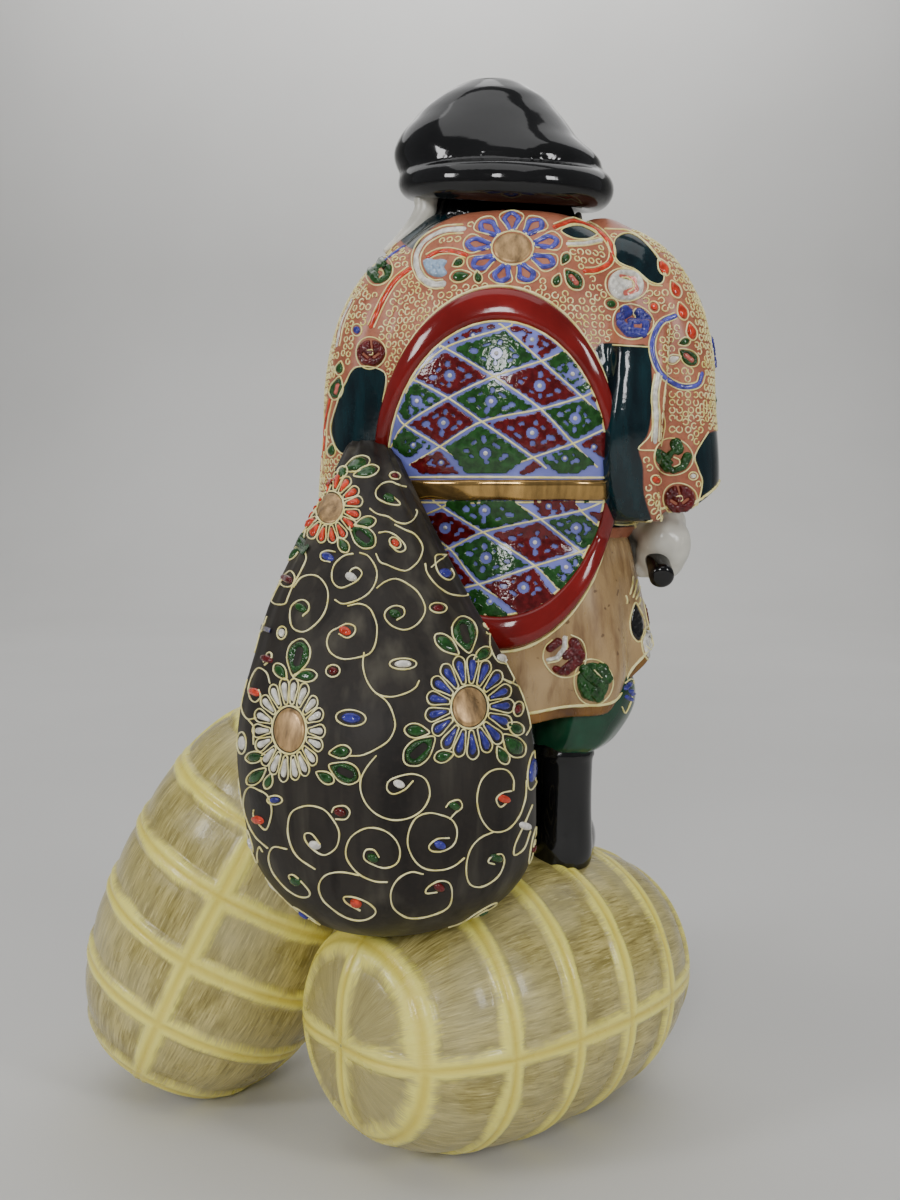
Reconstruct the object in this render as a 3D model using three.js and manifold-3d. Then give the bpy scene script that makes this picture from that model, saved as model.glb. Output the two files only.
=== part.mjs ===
// Glazed figure of the luck god Daikoku on two rice bales, with a sack at the back.
// Every piece is a casting of its own, luted to its neighbours at a narrow joint.
// Millimetres, +Z up. The figure faces +Y, so its back is seen when looking along +Y.
import * as THREE from "three";
import { mergeVertices } from "three/addons/utils/BufferGeometryUtils.js";
import Module from "manifold-3d";

const wasm = await Module();
wasm.setup();

// Driving dimensions
const JOINT_GAP = 0.3; // left open at every luted joint
const WALL = 4; // cast wall of the hollow pieces
const VENT_RADIUS = 1.6; // air hole of a hollow piece
const BALE_RADIUS = 44.5;
const BALE_LENGTH = 132;
const BALE_FLAT = 1.5; // ground off the underside
const ROPE_PITCH = 23.4; // between the ropes round a bale
const ROPE_WIDTH = 7;
const ROPE_HEIGHT = 1.5;
const RIGHT_BALE_TURN = 42.1; // degrees from +X to +Y
const LEFT_BALE_LEAN = 27; // degrees from upright, towards +X
const LEFT_BALE_OFFSET = 88.5; // across, from the right bale's middle to the left bale's
const LEFT_BALE_SETBACK = 25;
const BOOT_RADIUS = 10;
const BOOT_HEIGHT = 40.5;
const BOOT_LENGTH = 42; // heel to toe
const STANCE = 31; // between the two boots
const TROUSER_RADIUS = 17.5;
const TROUSER_HEIGHT = 36.5;
const SKIRT_WIDTH = 92;
const SKIRT_DEPTH = 78;
const SKIRT_HEIGHT = 72;
const ROBE_WIDTH = 102;
const ROBE_DEPTH = 88;
const ROBE_HEIGHT = 118.5;
const SLEEVE_WIDTH = 35;
const SLEEVE_DEPTH = 54;
const SLEEVE_LENGTH = 91;
const PANEL_WIDTH = 74;
const PANEL_HEIGHT = 109;
const FIELD_WIDTH = 66;
const FIELD_HEIGHT = 88.5;
const PANEL_RELIEF = 1.8; // lattice field, proud of the robe
const RING_RELIEF = 3.4;
const BELT_HEIGHT = 6;
const BELT_RELIEF = 3;
const HAND_RADIUS = 12;
const HANDLE_RADIUS = 4;
const HANDLE_LENGTH = 84;
const MALLET_RADIUS = 16;
const MALLET_LENGTH = 42;
const HEAD_WIDTH = 56;
const HEAD_HEIGHT = 60;
const EAR_LENGTH = 30;
const CAP_WIDTH = 70;
const CAP_HEIGHT = 39;
const BAND_RADIUS = 6.2;
const CAP_TILT = 7; // degrees that the roll is pushed back on the head
const SACK_WIDTH = 87;
const SACK_DEPTH = 78;
const SACK_HEIGHT = 150;

// How far each piece is let into the one it stands in or hangs from
const BOOT_SEAT = 4; // soles in the bales
const BOOT_TUCK = 4; // boot tops in the trouser legs
const TROUSER_TUCK = 24; // trouser tops in the skirt
const SKIRT_TUCK = 30; // skirt top in the robe
const SACK_SEAT = 12.5; // sack in the bales

// Heights that follow from the sizes above
const baleTop = 2 * BALE_RADIUS - BALE_FLAT;
const soleZ = baleTop - BOOT_SEAT;
const trouserZ = soleZ + BOOT_HEIGHT - BOOT_TUCK;
const skirtZ = trouserZ + TROUSER_HEIGHT - TROUSER_TUCK;
const robeZ = skirtZ + SKIRT_HEIGHT - SKIRT_TUCK;
const neckZ = robeZ + ROBE_HEIGHT;
const cuffZ = neckZ - SLEEVE_LENGTH - HAND_RADIUS / 2;
const panelZ = skirtZ + SKIRT_HEIGHT / 3;
const fieldZ = panelZ + (PANEL_HEIGHT - FIELD_HEIGHT) / 2;
const beltZ = panelZ + PANEL_HEIGHT * 0.45;
const sackZ = baleTop - SACK_SEAT;

// Places across and deep; the origin here is on the ground under the figure's spine
const bodyX = 2;
const bodyY = 0;
const legY = bodyY - 15;
const backX = bodyX - 5; // middle of the oval back panel
const rightBaleAt = [-1.2, -20.5, BALE_RADIUS - BALE_FLAT];
const sackAt = [-38, -56, sackZ]; // under its middle
const headAt = [bodyX - 5.5, bodyY + 13, neckZ - 11];
const capAt = [bodyX - 2, bodyY + 6, neckZ + 8]; // middle of the roll

// Glazes and enamels
const COLOURS = {
  straw_glaze: { color: 0xa59b6e, roughness: 0.45 },
  black_glaze: { color: 0x101012, roughness: 0.25 },
  charcoal_glaze: { color: 0x2a2725, roughness: 0.5 },
  green_glaze: { color: 0x1e5a41, roughness: 0.25 },
  tan_glaze: { color: 0xb8946f, roughness: 0.35 },
  robe_enamel: { color: 0xb07864, roughness: 0.35 },
  red_glaze: { color: 0x821914, roughness: 0.2 },
  lattice_enamel: { color: 0x6f7fc4, roughness: 0.3 },
  gold_lustre: { color: 0x96703a, roughness: 0.35, metalness: 0.8 },
  white_glaze: { color: 0xe4e0d6, roughness: 0.25 },
};

const v3 = (x, y, z) => new THREE.Vector3(x, y, z);
const degrees = THREE.MathUtils.degToRad;

// The geometry with its vertices shared by position
function welded(geometry) {
  const bare = geometry.clone();
  bare.deleteAttribute("normal");
  bare.deleteAttribute("uv");
  return mergeVertices(bare, 1e-4);
}

function solid(geometry) {
  const merged = welded(geometry);
  const made = new wasm.Manifold(
    new wasm.Mesh({
      numProp: 3,
      vertProperties: new Float32Array(merged.attributes.position.array),
      triVerts: new Uint32Array(merged.index.array),
    }),
  );
  return made.volume() < 0 ? solid(turnedOut(merged)) : made;
}

function turnedOut(geometry) {
  const flipped = geometry.clone();
  const index = flipped.index.array;
  for (let i = 0; i < index.length; i += 3) {
    [index[i], index[i + 1]] = [index[i + 1], index[i]];
  }
  return flipped;
}

// The same skin moved along its own normals: out for a clearance, in for a cavity
function offset(geometry, distance) {
  const moved = welded(geometry);
  moved.computeVertexNormals();
  const place = moved.attributes.position;
  const normal = moved.attributes.normal;
  for (let i = 0; i < place.count; i++) {
    const shift = v3().fromBufferAttribute(normal, i).multiplyScalar(distance);
    const point = v3().fromBufferAttribute(place, i).add(shift);
    place.setXYZ(i, point.x, point.y, point.z);
  }
  moved.deleteAttribute("normal");
  return moved;
}

// A closed skin through rings of points, with a point at each end
function skin(rings, start, end) {
  const sides = rings[0].length;
  const points = [start, ...rings.flat(), end];
  const last = points.length - 1;
  const index = [];
  for (let j = 0; j < sides; j++) {
    const next = (j + 1) % sides;
    index.push(0, 1 + next, 1 + j);
    for (let i = 0; i < rings.length - 1; i++) {
      const low = 1 + i * sides;
      const high = low + sides;
      index.push(low + j, low + next, high + next, low + j, high + next, high + j);
    }
    index.push(last, last - sides + j, last - sides + next);
  }
  const geometry = new THREE.BufferGeometry().setFromPoints(points);
  geometry.setIndex(index);
  return geometry;
}

// A smooth closed form through stations { at, half, axis, power }, as a boat's hull is lofted
function loft(stations, ringCount, sides) {
  const centres = new THREE.CatmullRomCurve3(stations.map((s) => v3(...s.at)), false, "catmullrom");
  const halves = new THREE.CatmullRomCurve3(
    stations.map((s) => v3(s.half[0], s.half[1], s.power ?? 2)),
    false,
    "catmullrom",
  );
  const axes = new THREE.CatmullRomCurve3(
    stations.map((s) => v3(...(s.axis ?? [0, 0, 1]))),
    false,
    "catmullrom",
  );
  const rings = [];
  for (let i = 0; i <= ringCount; i++) {
    const t = i / ringCount;
    const centre = centres.getPoint(t);
    const half = halves.getPoint(t);
    const axis = axes.getPoint(t).normalize();
    const across = v3(1, 0, 0).addScaledVector(axis, -axis.x).normalize();
    const deep = v3().crossVectors(axis, across);
    const ring = [];
    for (let j = 0; j < sides; j++) {
      const angle = (2 * Math.PI * j) / sides;
      const c = Math.cos(angle);
      const s = Math.sin(angle);
      const square = 2 / half.z;
      const u = half.x * Math.sign(c) * Math.abs(c) ** square;
      const w = half.y * Math.sign(s) * Math.abs(s) ** square;
      ring.push(centre.clone().addScaledVector(across, u).addScaledVector(deep, w));
    }
    rings.push(ring);
  }
  return skin(rings, centres.getPoint(0), centres.getPoint(1));
}

// Stations of an upright form, each written as shares of its size:
// [height, half width, half depth, shift across, shift deep]
function upright({ at, width, depth, height }, shares, power = 2) {
  return shares.map(([t, w, d, dx = 0, dy = 0]) => ({
    at: [at[0] + (dx * width) / 2, at[1] + (dy * depth) / 2, at[2] + t * height],
    half: [(w * width) / 2, (d * depth) / 2],
    power,
  }));
}

// A form keeps its skin at two levels of detail: one to show, one for its cavity
function form(stations, ringCount, sides) {
  return {
    skin: loft(stations, ringCount, sides),
    core: loft(stations, Math.ceil(ringCount * 0.5), Math.ceil(sides * 0.5)),
  };
}

const grown = (shape, distance) => solid(offset(shape.skin, distance));

// What is left of a cut piece is its main body; slivers beyond a neighbour are wiped off
function mainBody(piece) {
  const bodies = piece.decompose();
  return bodies.sort((a, b) => b.volume() - a.volume())[0];
}

function cutBy(piece, neighbours, distance) {
  return neighbours.reduce((left, shape) => left.subtract(grown(shape, distance)), piece);
}

// A cavity keeps a whole wall from each neighbour that is let into the casting
function cavityOf(shape, neighbours) {
  const inside = solid(offset(shape.core, -WALL));
  const walled = neighbours.reduce(
    (left, other) => left.subtract(solid(offset(other.core, JOINT_GAP + WALL))),
    inside,
  );
  return mainBody(walled);
}

function rod(from, to, radius, sides = 10) {
  const length = from.distanceTo(to);
  const geometry = new THREE.CylinderGeometry(radius, radius, length, sides);
  const turn = new THREE.Quaternion().setFromUnitVectors(
    v3(0, 1, 0),
    to.clone().sub(from).normalize(),
  );
  geometry.applyQuaternion(turn);
  const middle = from.clone().add(to).multiplyScalar(0.5);
  return geometry.translate(middle.x, middle.y, middle.z);
}

// Bale: a barrel with domed ends, roped round its girth and along its sides
const ropes = [-2.5, -1.5, -0.5, 0.5, 1.5, 2.5];
const lengthwiseRopes = 4;

function baleRadiusAt(share) {
  return BALE_RADIUS * Math.max(1 - Math.abs(share) ** 2.25, 0) ** 0.3;
}

// Places along the bale where a ring of points is needed: each rope's two edges and its crest
function baleStops() {
  const half = BALE_LENGTH / 2;
  const roped = ropes.flatMap((r) => [
    { s: r * ROPE_PITCH - ROPE_WIDTH / 2, rope: 0 },
    { s: r * ROPE_PITCH, rope: 1 },
    { s: r * ROPE_PITCH + ROPE_WIDTH / 2, rope: 0 },
  ]);
  const reach = roped[roped.length - 1].s;
  const dome = [0.45, 0.75, 0.93].map((k) => reach + (half - reach) * k);
  return [
    ...dome.map((s) => ({ s: -s, rope: 0 })).reverse(),
    ...roped,
    ...dome.map((s) => ({ s, rope: 0 })),
  ];
}

// Angles round the bale, with three at each lengthwise rope
function baleAngles(ropeTurn) {
  const edge = ROPE_WIDTH / 2 / BALE_RADIUS;
  const between = 4;
  const angles = [];
  for (let k = 0; k < lengthwiseRopes; k++) {
    const centre = ropeTurn + (2 * Math.PI * k) / lengthwiseRopes;
    angles.push({ a: centre - edge, rope: 0 }, { a: centre, rope: 1 }, { a: centre + edge, rope: 0 });
    const free = (2 * Math.PI) / lengthwiseRopes - 2 * edge;
    for (let m = 1; m < between; m++) {
      angles.push({ a: centre + edge + (free * m) / between, rope: 0 });
    }
  }
  return angles;
}

function bale(ropeTurn) {
  const half = BALE_LENGTH / 2;
  const angles = baleAngles(ropeTurn);
  const rings = baleStops().map((stop) =>
    angles.map((place) => {
      const relief = Math.max(stop.rope, place.rope) * ROPE_HEIGHT;
      const r = baleRadiusAt(stop.s / half) + relief;
      return v3(r * Math.cos(place.a), r * Math.sin(place.a), stop.s);
    }),
  );
  const plain = [-0.98, -0.8, -0.5, 0, 0.5, 0.8, 0.98].map((share) => {
    const r = baleRadiusAt(share);
    const ring = [];
    for (let j = 0; j < 14; j++) {
      const angle = (2 * Math.PI * j) / 14;
      ring.push(v3(r * Math.cos(angle), r * Math.sin(angle), share * half));
    }
    return ring;
  });
  const ends = [v3(0, 0, -half), v3(0, 0, half)];
  return { skin: skin(rings, ...ends), core: skin(plain, ...ends) };
}

function placed(shape, matrix) {
  return {
    skin: shape.skin.clone().applyMatrix4(matrix),
    core: shape.core.clone().applyMatrix4(matrix),
  };
}

// The bale's own axis turned to `axis`, with its middle at `at`
function alongAxis(axis, at) {
  const up = Math.abs(axis.z) > 0.7 ? v3(0, 1, 0) : v3(0, 0, 1);
  const across = v3().crossVectors(up, axis).normalize();
  const other = v3().crossVectors(axis, across);
  return new THREE.Matrix4().makeBasis(across, other, axis).setPosition(...at);
}

// The table that everything stands on, as a block to grind the feet flat
function underTable() {
  const block = new THREE.BoxGeometry(600, 600, 100);
  return solid(block.translate(0, 0, -50));
}

// A rounded form: an ellipsoid about `at` with the given half sizes
function rounded(at, half, rings = 8, sides = 14) {
  const shape = new THREE.SphereGeometry(1, sides, rings);
  shape.rotateX(Math.PI / 2);
  shape.scale(...half);
  return whole(shape.translate(...at));
}

// A form with one level of detail
function whole(geometry) {
  return { skin: geometry, core: geometry };
}

const turn = degrees(RIGHT_BALE_TURN);
const rightAxis = v3(Math.cos(turn), Math.sin(turn), 0);
const rightBale = placed(bale(0), alongAxis(rightAxis, rightBaleAt));

const lean = degrees(LEFT_BALE_LEAN);
const leftAxis = v3(Math.sin(lean), 0, Math.cos(lean));
const leftBaleAt = [
  rightBaleAt[0] - LEFT_BALE_OFFSET,
  rightBaleAt[1] + LEFT_BALE_SETBACK,
  -lowestOf(placed(bale(0), alongAxis(leftAxis, [0, 0, 0])).skin) - BALE_FLAT,
];
const leftBale = placed(bale(0), alongAxis(leftAxis, leftBaleAt));

function lowestOf(geometry) {
  geometry.computeBoundingBox();
  return geometry.boundingBox.min.z;
}

// Boot: a straight shaft over a foot that points forward, turned out by some degrees
function boot(x, y, turnedOutBy) {
  const shaft = form(
    [
      { at: [x, y, soleZ - 3], half: [BOOT_RADIUS * 0.9, BOOT_RADIUS * 0.9] },
      { at: [x, y, soleZ + 4], half: [BOOT_RADIUS * 1.02, BOOT_RADIUS * 1.05] },
      { at: [x, y, soleZ + BOOT_HEIGHT * 0.5], half: [BOOT_RADIUS, BOOT_RADIUS] },
      { at: [x, y, soleZ + BOOT_HEIGHT], half: [BOOT_RADIUS, BOOT_RADIUS] },
    ],
    5,
    14,
  );
  const foot = new THREE.SphereGeometry(1, 12, 8);
  foot.scale(BOOT_RADIUS * 1.08, BOOT_LENGTH / 2, BOOT_RADIUS * 1.15);
  foot.translate(0, BOOT_LENGTH / 2 - BOOT_RADIUS, 0);
  foot.rotateZ(-degrees(turnedOutBy));
  foot.translate(x, y, soleZ + 5);
  return { shaft, foot: whole(foot) };
}

const bootRight = boot(bodyX + STANCE / 2, legY, 9);
const bootLeft = boot(bodyX - STANCE / 2, legY + 2, -17);

// Trouser leg: a puff gathered over the boot top
function trouser(side) {
  return form(
    upright(
      {
        at: [bodyX + side * (STANCE / 2 + TROUSER_RADIUS * 0.38), legY + 5, trouserZ],
        width: 2 * TROUSER_RADIUS,
        depth: 2.2 * TROUSER_RADIUS,
        height: TROUSER_HEIGHT,
      },
      [
        [0, 0.3, 0.4, -side * 0.3, -0.1],
        [0.03, 0.62, 0.66, -side * 0.3, -0.1],
        [0.16, 0.86, 0.9, -side * 0.18],
        [0.45, 1, 1],
        [0.75, 0.9, 0.95],
        [0.95, 0.55, 0.6],
        [1, 0.15, 0.15],
      ],
    ),
    9,
    16,
  );
}

const trouserRight = trouser(1);
const trouserLeft = trouser(-1);

// Skirt of the under-robe: a bell with a hem, its top tucked inside the robe
const skirt = form(
  upright(
    { at: [bodyX, bodyY, skirtZ], width: SKIRT_WIDTH, depth: SKIRT_DEPTH, height: SKIRT_HEIGHT },
    [
      [0, 0.55, 0.55],
      [0.01, 0.86, 0.86],
      [0.05, 0.95, 0.93],
      [0.22, 1, 1, 0.02],
      [0.42, 0.97, 0.99],
      [0.64, 0.9, 0.94],
      [0.83, 0.8, 0.86],
      [0.96, 0.5, 0.55],
      [1, 0.1, 0.1],
    ],
  ),
  12,
  24,
);

// Robe: an egg, wide at the elbows and drawn in to the neck
const robe = form(
  upright(
    { at: [bodyX, bodyY + 2, robeZ], width: ROBE_WIDTH, depth: ROBE_DEPTH, height: ROBE_HEIGHT },
    [
      [0, 0.25, 0.25],
      [0.04, 0.52, 0.56],
      [0.14, 0.78, 0.82],
      [0.26, 0.89, 0.94],
      [0.42, 0.97, 1],
      [0.58, 1, 0.98],
      [0.72, 0.95, 0.9],
      [0.83, 0.84, 0.75, 0, -0.06],
      [0.92, 0.67, 0.56, -0.02, -0.14],
      [0.98, 0.44, 0.38, -0.03, -0.2],
      [1, 0.15, 0.15, -0.03, -0.2],
    ],
  ),
  15,
  26,
);

// Sleeve: hangs from the shoulder to a slanted hem
// Each stop is [share of the length, share of the way out to the elbow, width, depth]
function sleeve(side, { lift, forward, reach, hemSlant }) {
  const shoulder = bodyX + side * ROBE_WIDTH * 0.27;
  const elbow = bodyX + side * ROBE_WIDTH * 0.5 * reach;
  const stops = [
    [0, 0, 0.3, 0.35],
    [0.12, 0.3, 0.86, 0.82],
    [0.3, 0.62, 1.04, 0.97],
    [0.5, 0.86, 1.02, 1],
    [0.7, 0.97, 0.96, 1],
    [0.88, 1.05, 0.96, 0.98],
    [0.985, 1.07, 0.97, 0.97],
    [1, 1.07, 0.9, 0.9],
  ];
  const stations = stops.map(([t, out, w, d]) => ({
    at: [
      shoulder + (elbow - shoulder) * out,
      bodyY + 1 + forward * t,
      neckZ - 9 + lift - t * SLEEVE_LENGTH,
    ],
    half: [(w * SLEEVE_WIDTH) / 2, (d * SLEEVE_DEPTH) / 2],
    axis: [side * Math.sin(degrees(hemSlant)) * t, 0, -1],
    power: 2.2,
  }));
  return form(stations, 10, 18);
}

const sleeveRight = sleeve(1, { lift: 8, forward: -1, reach: 0.98, hemSlant: 24 });
const sleeveLeft = sleeve(-1, { lift: 2, forward: 8, reach: 0.92, hemSlant: 6 });

// Mallet: a barrel on a handle whose free end sticks out behind the right fist
const hipHalf = Math.max(ROBE_WIDTH, SKIRT_WIDTH + HAND_RADIUS * 0.8) / 2;
const fistRightAt = [bodyX + hipHalf - 1, bodyY - 4, cuffZ - HAND_RADIUS];
const fistRight = rounded(fistRightAt, [HAND_RADIUS * 0.75, HAND_RADIUS * 1.1, HAND_RADIUS]);
const handleTilt = degrees(25);
const handleAxis = v3(0, Math.cos(handleTilt), Math.sin(handleTilt));
const handleEnd = v3(...fistRightAt).add(v3(-3.5, 0, 1)).addScaledVector(handleAxis, -19);
const malletAt = handleEnd.clone().addScaledVector(handleAxis, HANDLE_LENGTH);
const handle = whole(rod(handleEnd, malletAt, HANDLE_RADIUS, 12));
const malletHead = whole(barrel());

function barrel() {
  const half = MALLET_LENGTH / 2;
  const outline = [
    [0, -half],
    [MALLET_RADIUS * 0.82, -half],
    [MALLET_RADIUS * 0.95, -half * 0.55],
    [MALLET_RADIUS, 0],
    [MALLET_RADIUS * 0.95, half * 0.55],
    [MALLET_RADIUS * 0.82, half],
    [0, half],
  ].map(([r, y]) => new THREE.Vector2(r, y));
  const shape = new THREE.LatheGeometry(outline, 18);
  return shape.rotateZ(Math.PI / 2).translate(malletAt.x, malletAt.y, malletAt.z);
}

// Sack: a pear leaning against the figure, its neck running under the left sleeve
const sack = form(
  upright(
    { at: sackAt, width: SACK_WIDTH, depth: SACK_DEPTH, height: SACK_HEIGHT },
    [
      [0, 0.12, 0.12],
      [0.03, 0.5, 0.5, 0.02],
      [0.08, 0.77, 0.77, 0.06],
      [0.16, 0.95, 0.95, 0.05],
      [0.28, 1, 1, 0.02],
      [0.37, 1, 1],
      [0.46, 0.95, 0.95, -0.015, 0.02],
      [0.555, 0.825, 0.84, -0.05, 0.08],
      [0.655, 0.675, 0.69, -0.1, 0.18],
      [0.775, 0.47, 0.5, -0.115, 0.34],
      [0.88, 0.29, 0.3, -0.125, 0.56],
      [0.95, 0.18, 0.18, -0.14, 0.84],
      [0.98, 0.12, 0.12, -0.16, 1.15],
    ],
  ),
  17,
  24,
);

// Left fist in front of the left sleeve, holding the sack's gathered mouth
const fistLeftAt = [bodyX - ROBE_WIDTH * 0.44, bodyY + SLEEVE_DEPTH / 2 + 15, cuffZ + HAND_RADIUS];
const fistLeft = rounded(fistLeftAt, [HAND_RADIUS * 0.9, HAND_RADIUS * 1.05, HAND_RADIUS]);
const mouthRise = 20;
const mouth = form(
  [
    [-0.2, 0.45],
    [0.1, 0.5],
    [0.45, 0.55],
    [0.75, 0.85],
    [1, 1.15],
    [1.08, 1.05],
  ].map(([t, w]) => ({
    at: [fistLeftAt[0], fistLeftAt[1] + 0.7 * mouthRise * t, fistLeftAt[2] + mouthRise * t],
    half: [w * HAND_RADIUS, w * HAND_RADIUS * 0.8],
    axis: [0, 0.55, 0.83],
  })),
  7,
  14,
);

// Head, with long ear lobes
const headShape = rounded(headAt, [HEAD_WIDTH / 2, HEAD_WIDTH / 2 - 1, HEAD_HEIGHT / 2], 12, 20);
const noseAt = [headAt[0], headAt[1] + HEAD_WIDTH / 2 - 1, headAt[2] - 1];
const nose = rounded(noseAt, [4.5, 4, 5], 6, 10);

function ear(side) {
  const at = [headAt[0] + side * (HEAD_WIDTH / 2 + 0.5), headAt[1] - 7, headAt[2] + 2];
  return rounded(at, [3.2, 6.5, EAR_LENGTH / 2], 8, 10);
}

// Cap: a thick roll round the brow under a soft crown that sags to one side
const roll = new THREE.TorusGeometry(CAP_WIDTH / 2 - BAND_RADIUS, BAND_RADIUS, 8, 24);
const band = whole(roll.scale(1, 0.94, 1).rotateX(degrees(CAP_TILT)).rotateY(0.03).translate(...capAt));
const crown = form(
  upright(
    {
      at: [capAt[0], capAt[1], capAt[2] - 1],
      width: CAP_WIDTH,
      depth: CAP_WIDTH * 0.96,
      height: CAP_HEIGHT,
    },
    [
      [0, 0.7, 0.7],
      [0.03, 0.93, 0.93],
      [0.1, 0.99, 1],
      [0.26, 1, 1, -0.05, -0.02],
      [0.38, 0.95, 0.96, -0.11, -0.04],
      [0.51, 0.84, 0.87, -0.17, -0.05],
      [0.6, 0.73, 0.78, -0.18, -0.06],
      [0.68, 0.61, 0.66, -0.175, -0.06],
      [0.79, 0.47, 0.51, -0.165, -0.06],
      [0.9, 0.35, 0.38, -0.16, -0.06],
      [0.97, 0.2, 0.21, -0.16, -0.06],
      [1, 0.05, 0.05, -0.16, -0.06],
    ],
  ),
  16,
  22,
);
const crownRoom = rounded(
  [capAt[0] - CAP_WIDTH * 0.05, capAt[1], capAt[2] + CAP_HEIGHT * 0.5],
  [CAP_WIDTH * 0.32, CAP_WIDTH * 0.3, CAP_HEIGHT * 0.5 - WALL],
);

// A block that stands through the back of the figure, in the outline of an upright oval
function backOval(width, height, low) {
  const outline = new THREE.Shape().absellipse(0, 0, width / 2, height / 2, 0, 2 * Math.PI);
  const block = new THREE.ExtrudeGeometry(outline, { depth: 60, bevelEnabled: false, curveSegments: 10 });
  return solid(block.rotateX(Math.PI / 2).translate(backX, bodyY, low + height / 2));
}

function backStrip(height) {
  return solid(new THREE.BoxGeometry(PANEL_WIDTH, 80, height).translate(backX, bodyY - 40, beltZ));
}

// Relief on the back lies on the robe and the skirt alike
const overBack = (distance) => grown(robe, distance).add(grown(skirt, distance));
const backRelief = (outline, relief) => overBack(relief).intersect(outline).subtract(overBack(JOINT_GAP));

// Room for the ring in whatever lies against the back
const ringRoom = overBack(RING_RELIEF + JOINT_GAP).intersect(
  backOval(PANEL_WIDTH + 2 * JOINT_GAP, PANEL_HEIGHT + 2 * JOINT_GAP, panelZ - JOINT_GAP),
);

// One collar strip, from the nape over the shoulder and across the chest
function collarStrip(side) {
  const lowZ = neckZ - 52;
  const strip = new THREE.Shape([
    new THREE.Vector2(bodyX - side * 5, lowZ),
    new THREE.Vector2(bodyX - side * 5, lowZ + 9),
    new THREE.Vector2(bodyX + side * 30, neckZ + 6),
    new THREE.Vector2(bodyX + side * 30, neckZ - 7),
  ]);
  const block = new THREE.ExtrudeGeometry(strip, { depth: 70, bevelEnabled: false });
  return solid(block.rotateX(Math.PI / 2).translate(0, bodyY + 72, 0));
}

// A solid casting, trimmed to its neighbours
function trimmed(piece, neighbours) {
  return mainBody(cutBy(piece, neighbours, JOINT_GAP));
}

const solidCasting = (shape, neighbours = []) => trimmed(solid(shape.skin), neighbours);

// A hollow casting: its wall is kept where a neighbour is let in, and a vent leads out of it
function hollowCasting(shape, neighbours, [ventFrom, ventTo]) {
  const vent = solid(rod(v3(...ventFrom), v3(...ventTo), VENT_RADIUS, 6));
  return solidCasting(shape, neighbours).subtract(cavityOf(shape, neighbours)).subtract(vent);
}

const group = new THREE.Group();

function keep(name, look, casting) {
  const { vertProperties, triVerts, numProp } = mainBody(casting).getMesh();
  const points = vertProperties.filter((_, i) => i % numProp < 3);
  const geometry = new THREE.BufferGeometry();
  geometry.setAttribute("position", new THREE.BufferAttribute(new Float32Array(points), 3));
  geometry.setIndex(new THREE.BufferAttribute(new Uint32Array(triVerts), 1));
  geometry.computeVertexNormals();
  const mesh = new THREE.Mesh(geometry, new THREE.MeshStandardMaterial(COLOURS[look]));
  mesh.name = name;
  group.add(mesh);
}

// The two bales, ground flat underneath
const ground = underTable();
const below = ([x, y]) => [x, y, -5];
const rightShell = hollowCasting(rightBale, [], [rightBaleAt, below(rightBaleAt)]);
const leftShell = hollowCasting(leftBale, [rightBale], [leftBaleAt, below(leftBaleAt)]);
keep("bale_right", "straw_glaze", rightShell.subtract(ground));
keep("bale_left", "straw_glaze", leftShell.subtract(ground));

// Legs
const bales = [rightBale, leftBale];
const soleCut = new THREE.BoxGeometry(200, 200, BALE_RADIUS);
const underSole = solid(soleCut.translate(0, 0, soleZ - BOOT_SEAT / 2 - BALE_RADIUS / 2));
function bootCasting({ shaft, foot }) {
  return trimmed(solid(shaft.skin).add(solid(foot.skin)).subtract(underSole), bales);
}
const shafts = [bootRight.shaft, bootLeft.shaft];
keep("boot_right", "black_glaze", bootCasting(bootRight));
keep("boot_left", "black_glaze", bootCasting(bootLeft));
keep("trouser_right", "green_glaze", solidCasting(trouserRight, [...shafts, ...bales]));
keep("trouser_left", "green_glaze", solidCasting(trouserLeft, [...shafts, trouserRight, ...bales]));

// Skirt and robe share one vent down to the open underside
const underside = [bodyX, bodyY + SKIRT_DEPTH * 0.15, skirtZ - 10];
const chest = [bodyX, bodyY + SKIRT_DEPTH * 0.15, robeZ + ROBE_HEIGHT / 2];
const skirtNeighbours = [trouserRight, trouserLeft, robe, handle];
keep("skirt", "tan_glaze", hollowCasting(skirt, skirtNeighbours, [chest, underside]));
keep("robe", "robe_enamel", hollowCasting(robe, [], [chest, underside]));

// Oval back panel: a heavy ring round a lattice field, crossed by the belt
const fieldOval = backOval(FIELD_WIDTH, FIELD_HEIGHT, fieldZ);
const ringHole = backOval(FIELD_WIDTH + 2 * JOINT_GAP, FIELD_HEIGHT + 2 * JOINT_GAP, fieldZ - JOINT_GAP);
const field = backRelief(fieldOval, PANEL_RELIEF).subtract(backStrip(BELT_HEIGHT + 2 * JOINT_GAP));
const [upperField, lowerField] = field
  .decompose()
  .sort((a, b) => b.volume() - a.volume())
  .slice(0, 2)
  .sort((a, b) => b.boundingBox().max[2] - a.boundingBox().max[2]);
const ringOval = backOval(PANEL_WIDTH, PANEL_HEIGHT, panelZ);
keep("back_ring", "red_glaze", backRelief(ringOval, RING_RELIEF).subtract(ringHole));
keep("back_field_upper", "lattice_enamel", upperField);
keep("back_field_lower", "lattice_enamel", lowerField);
keep("belt_back", "gold_lustre", backRelief(fieldOval, BELT_RELIEF).intersect(backStrip(BELT_HEIGHT)));

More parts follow.
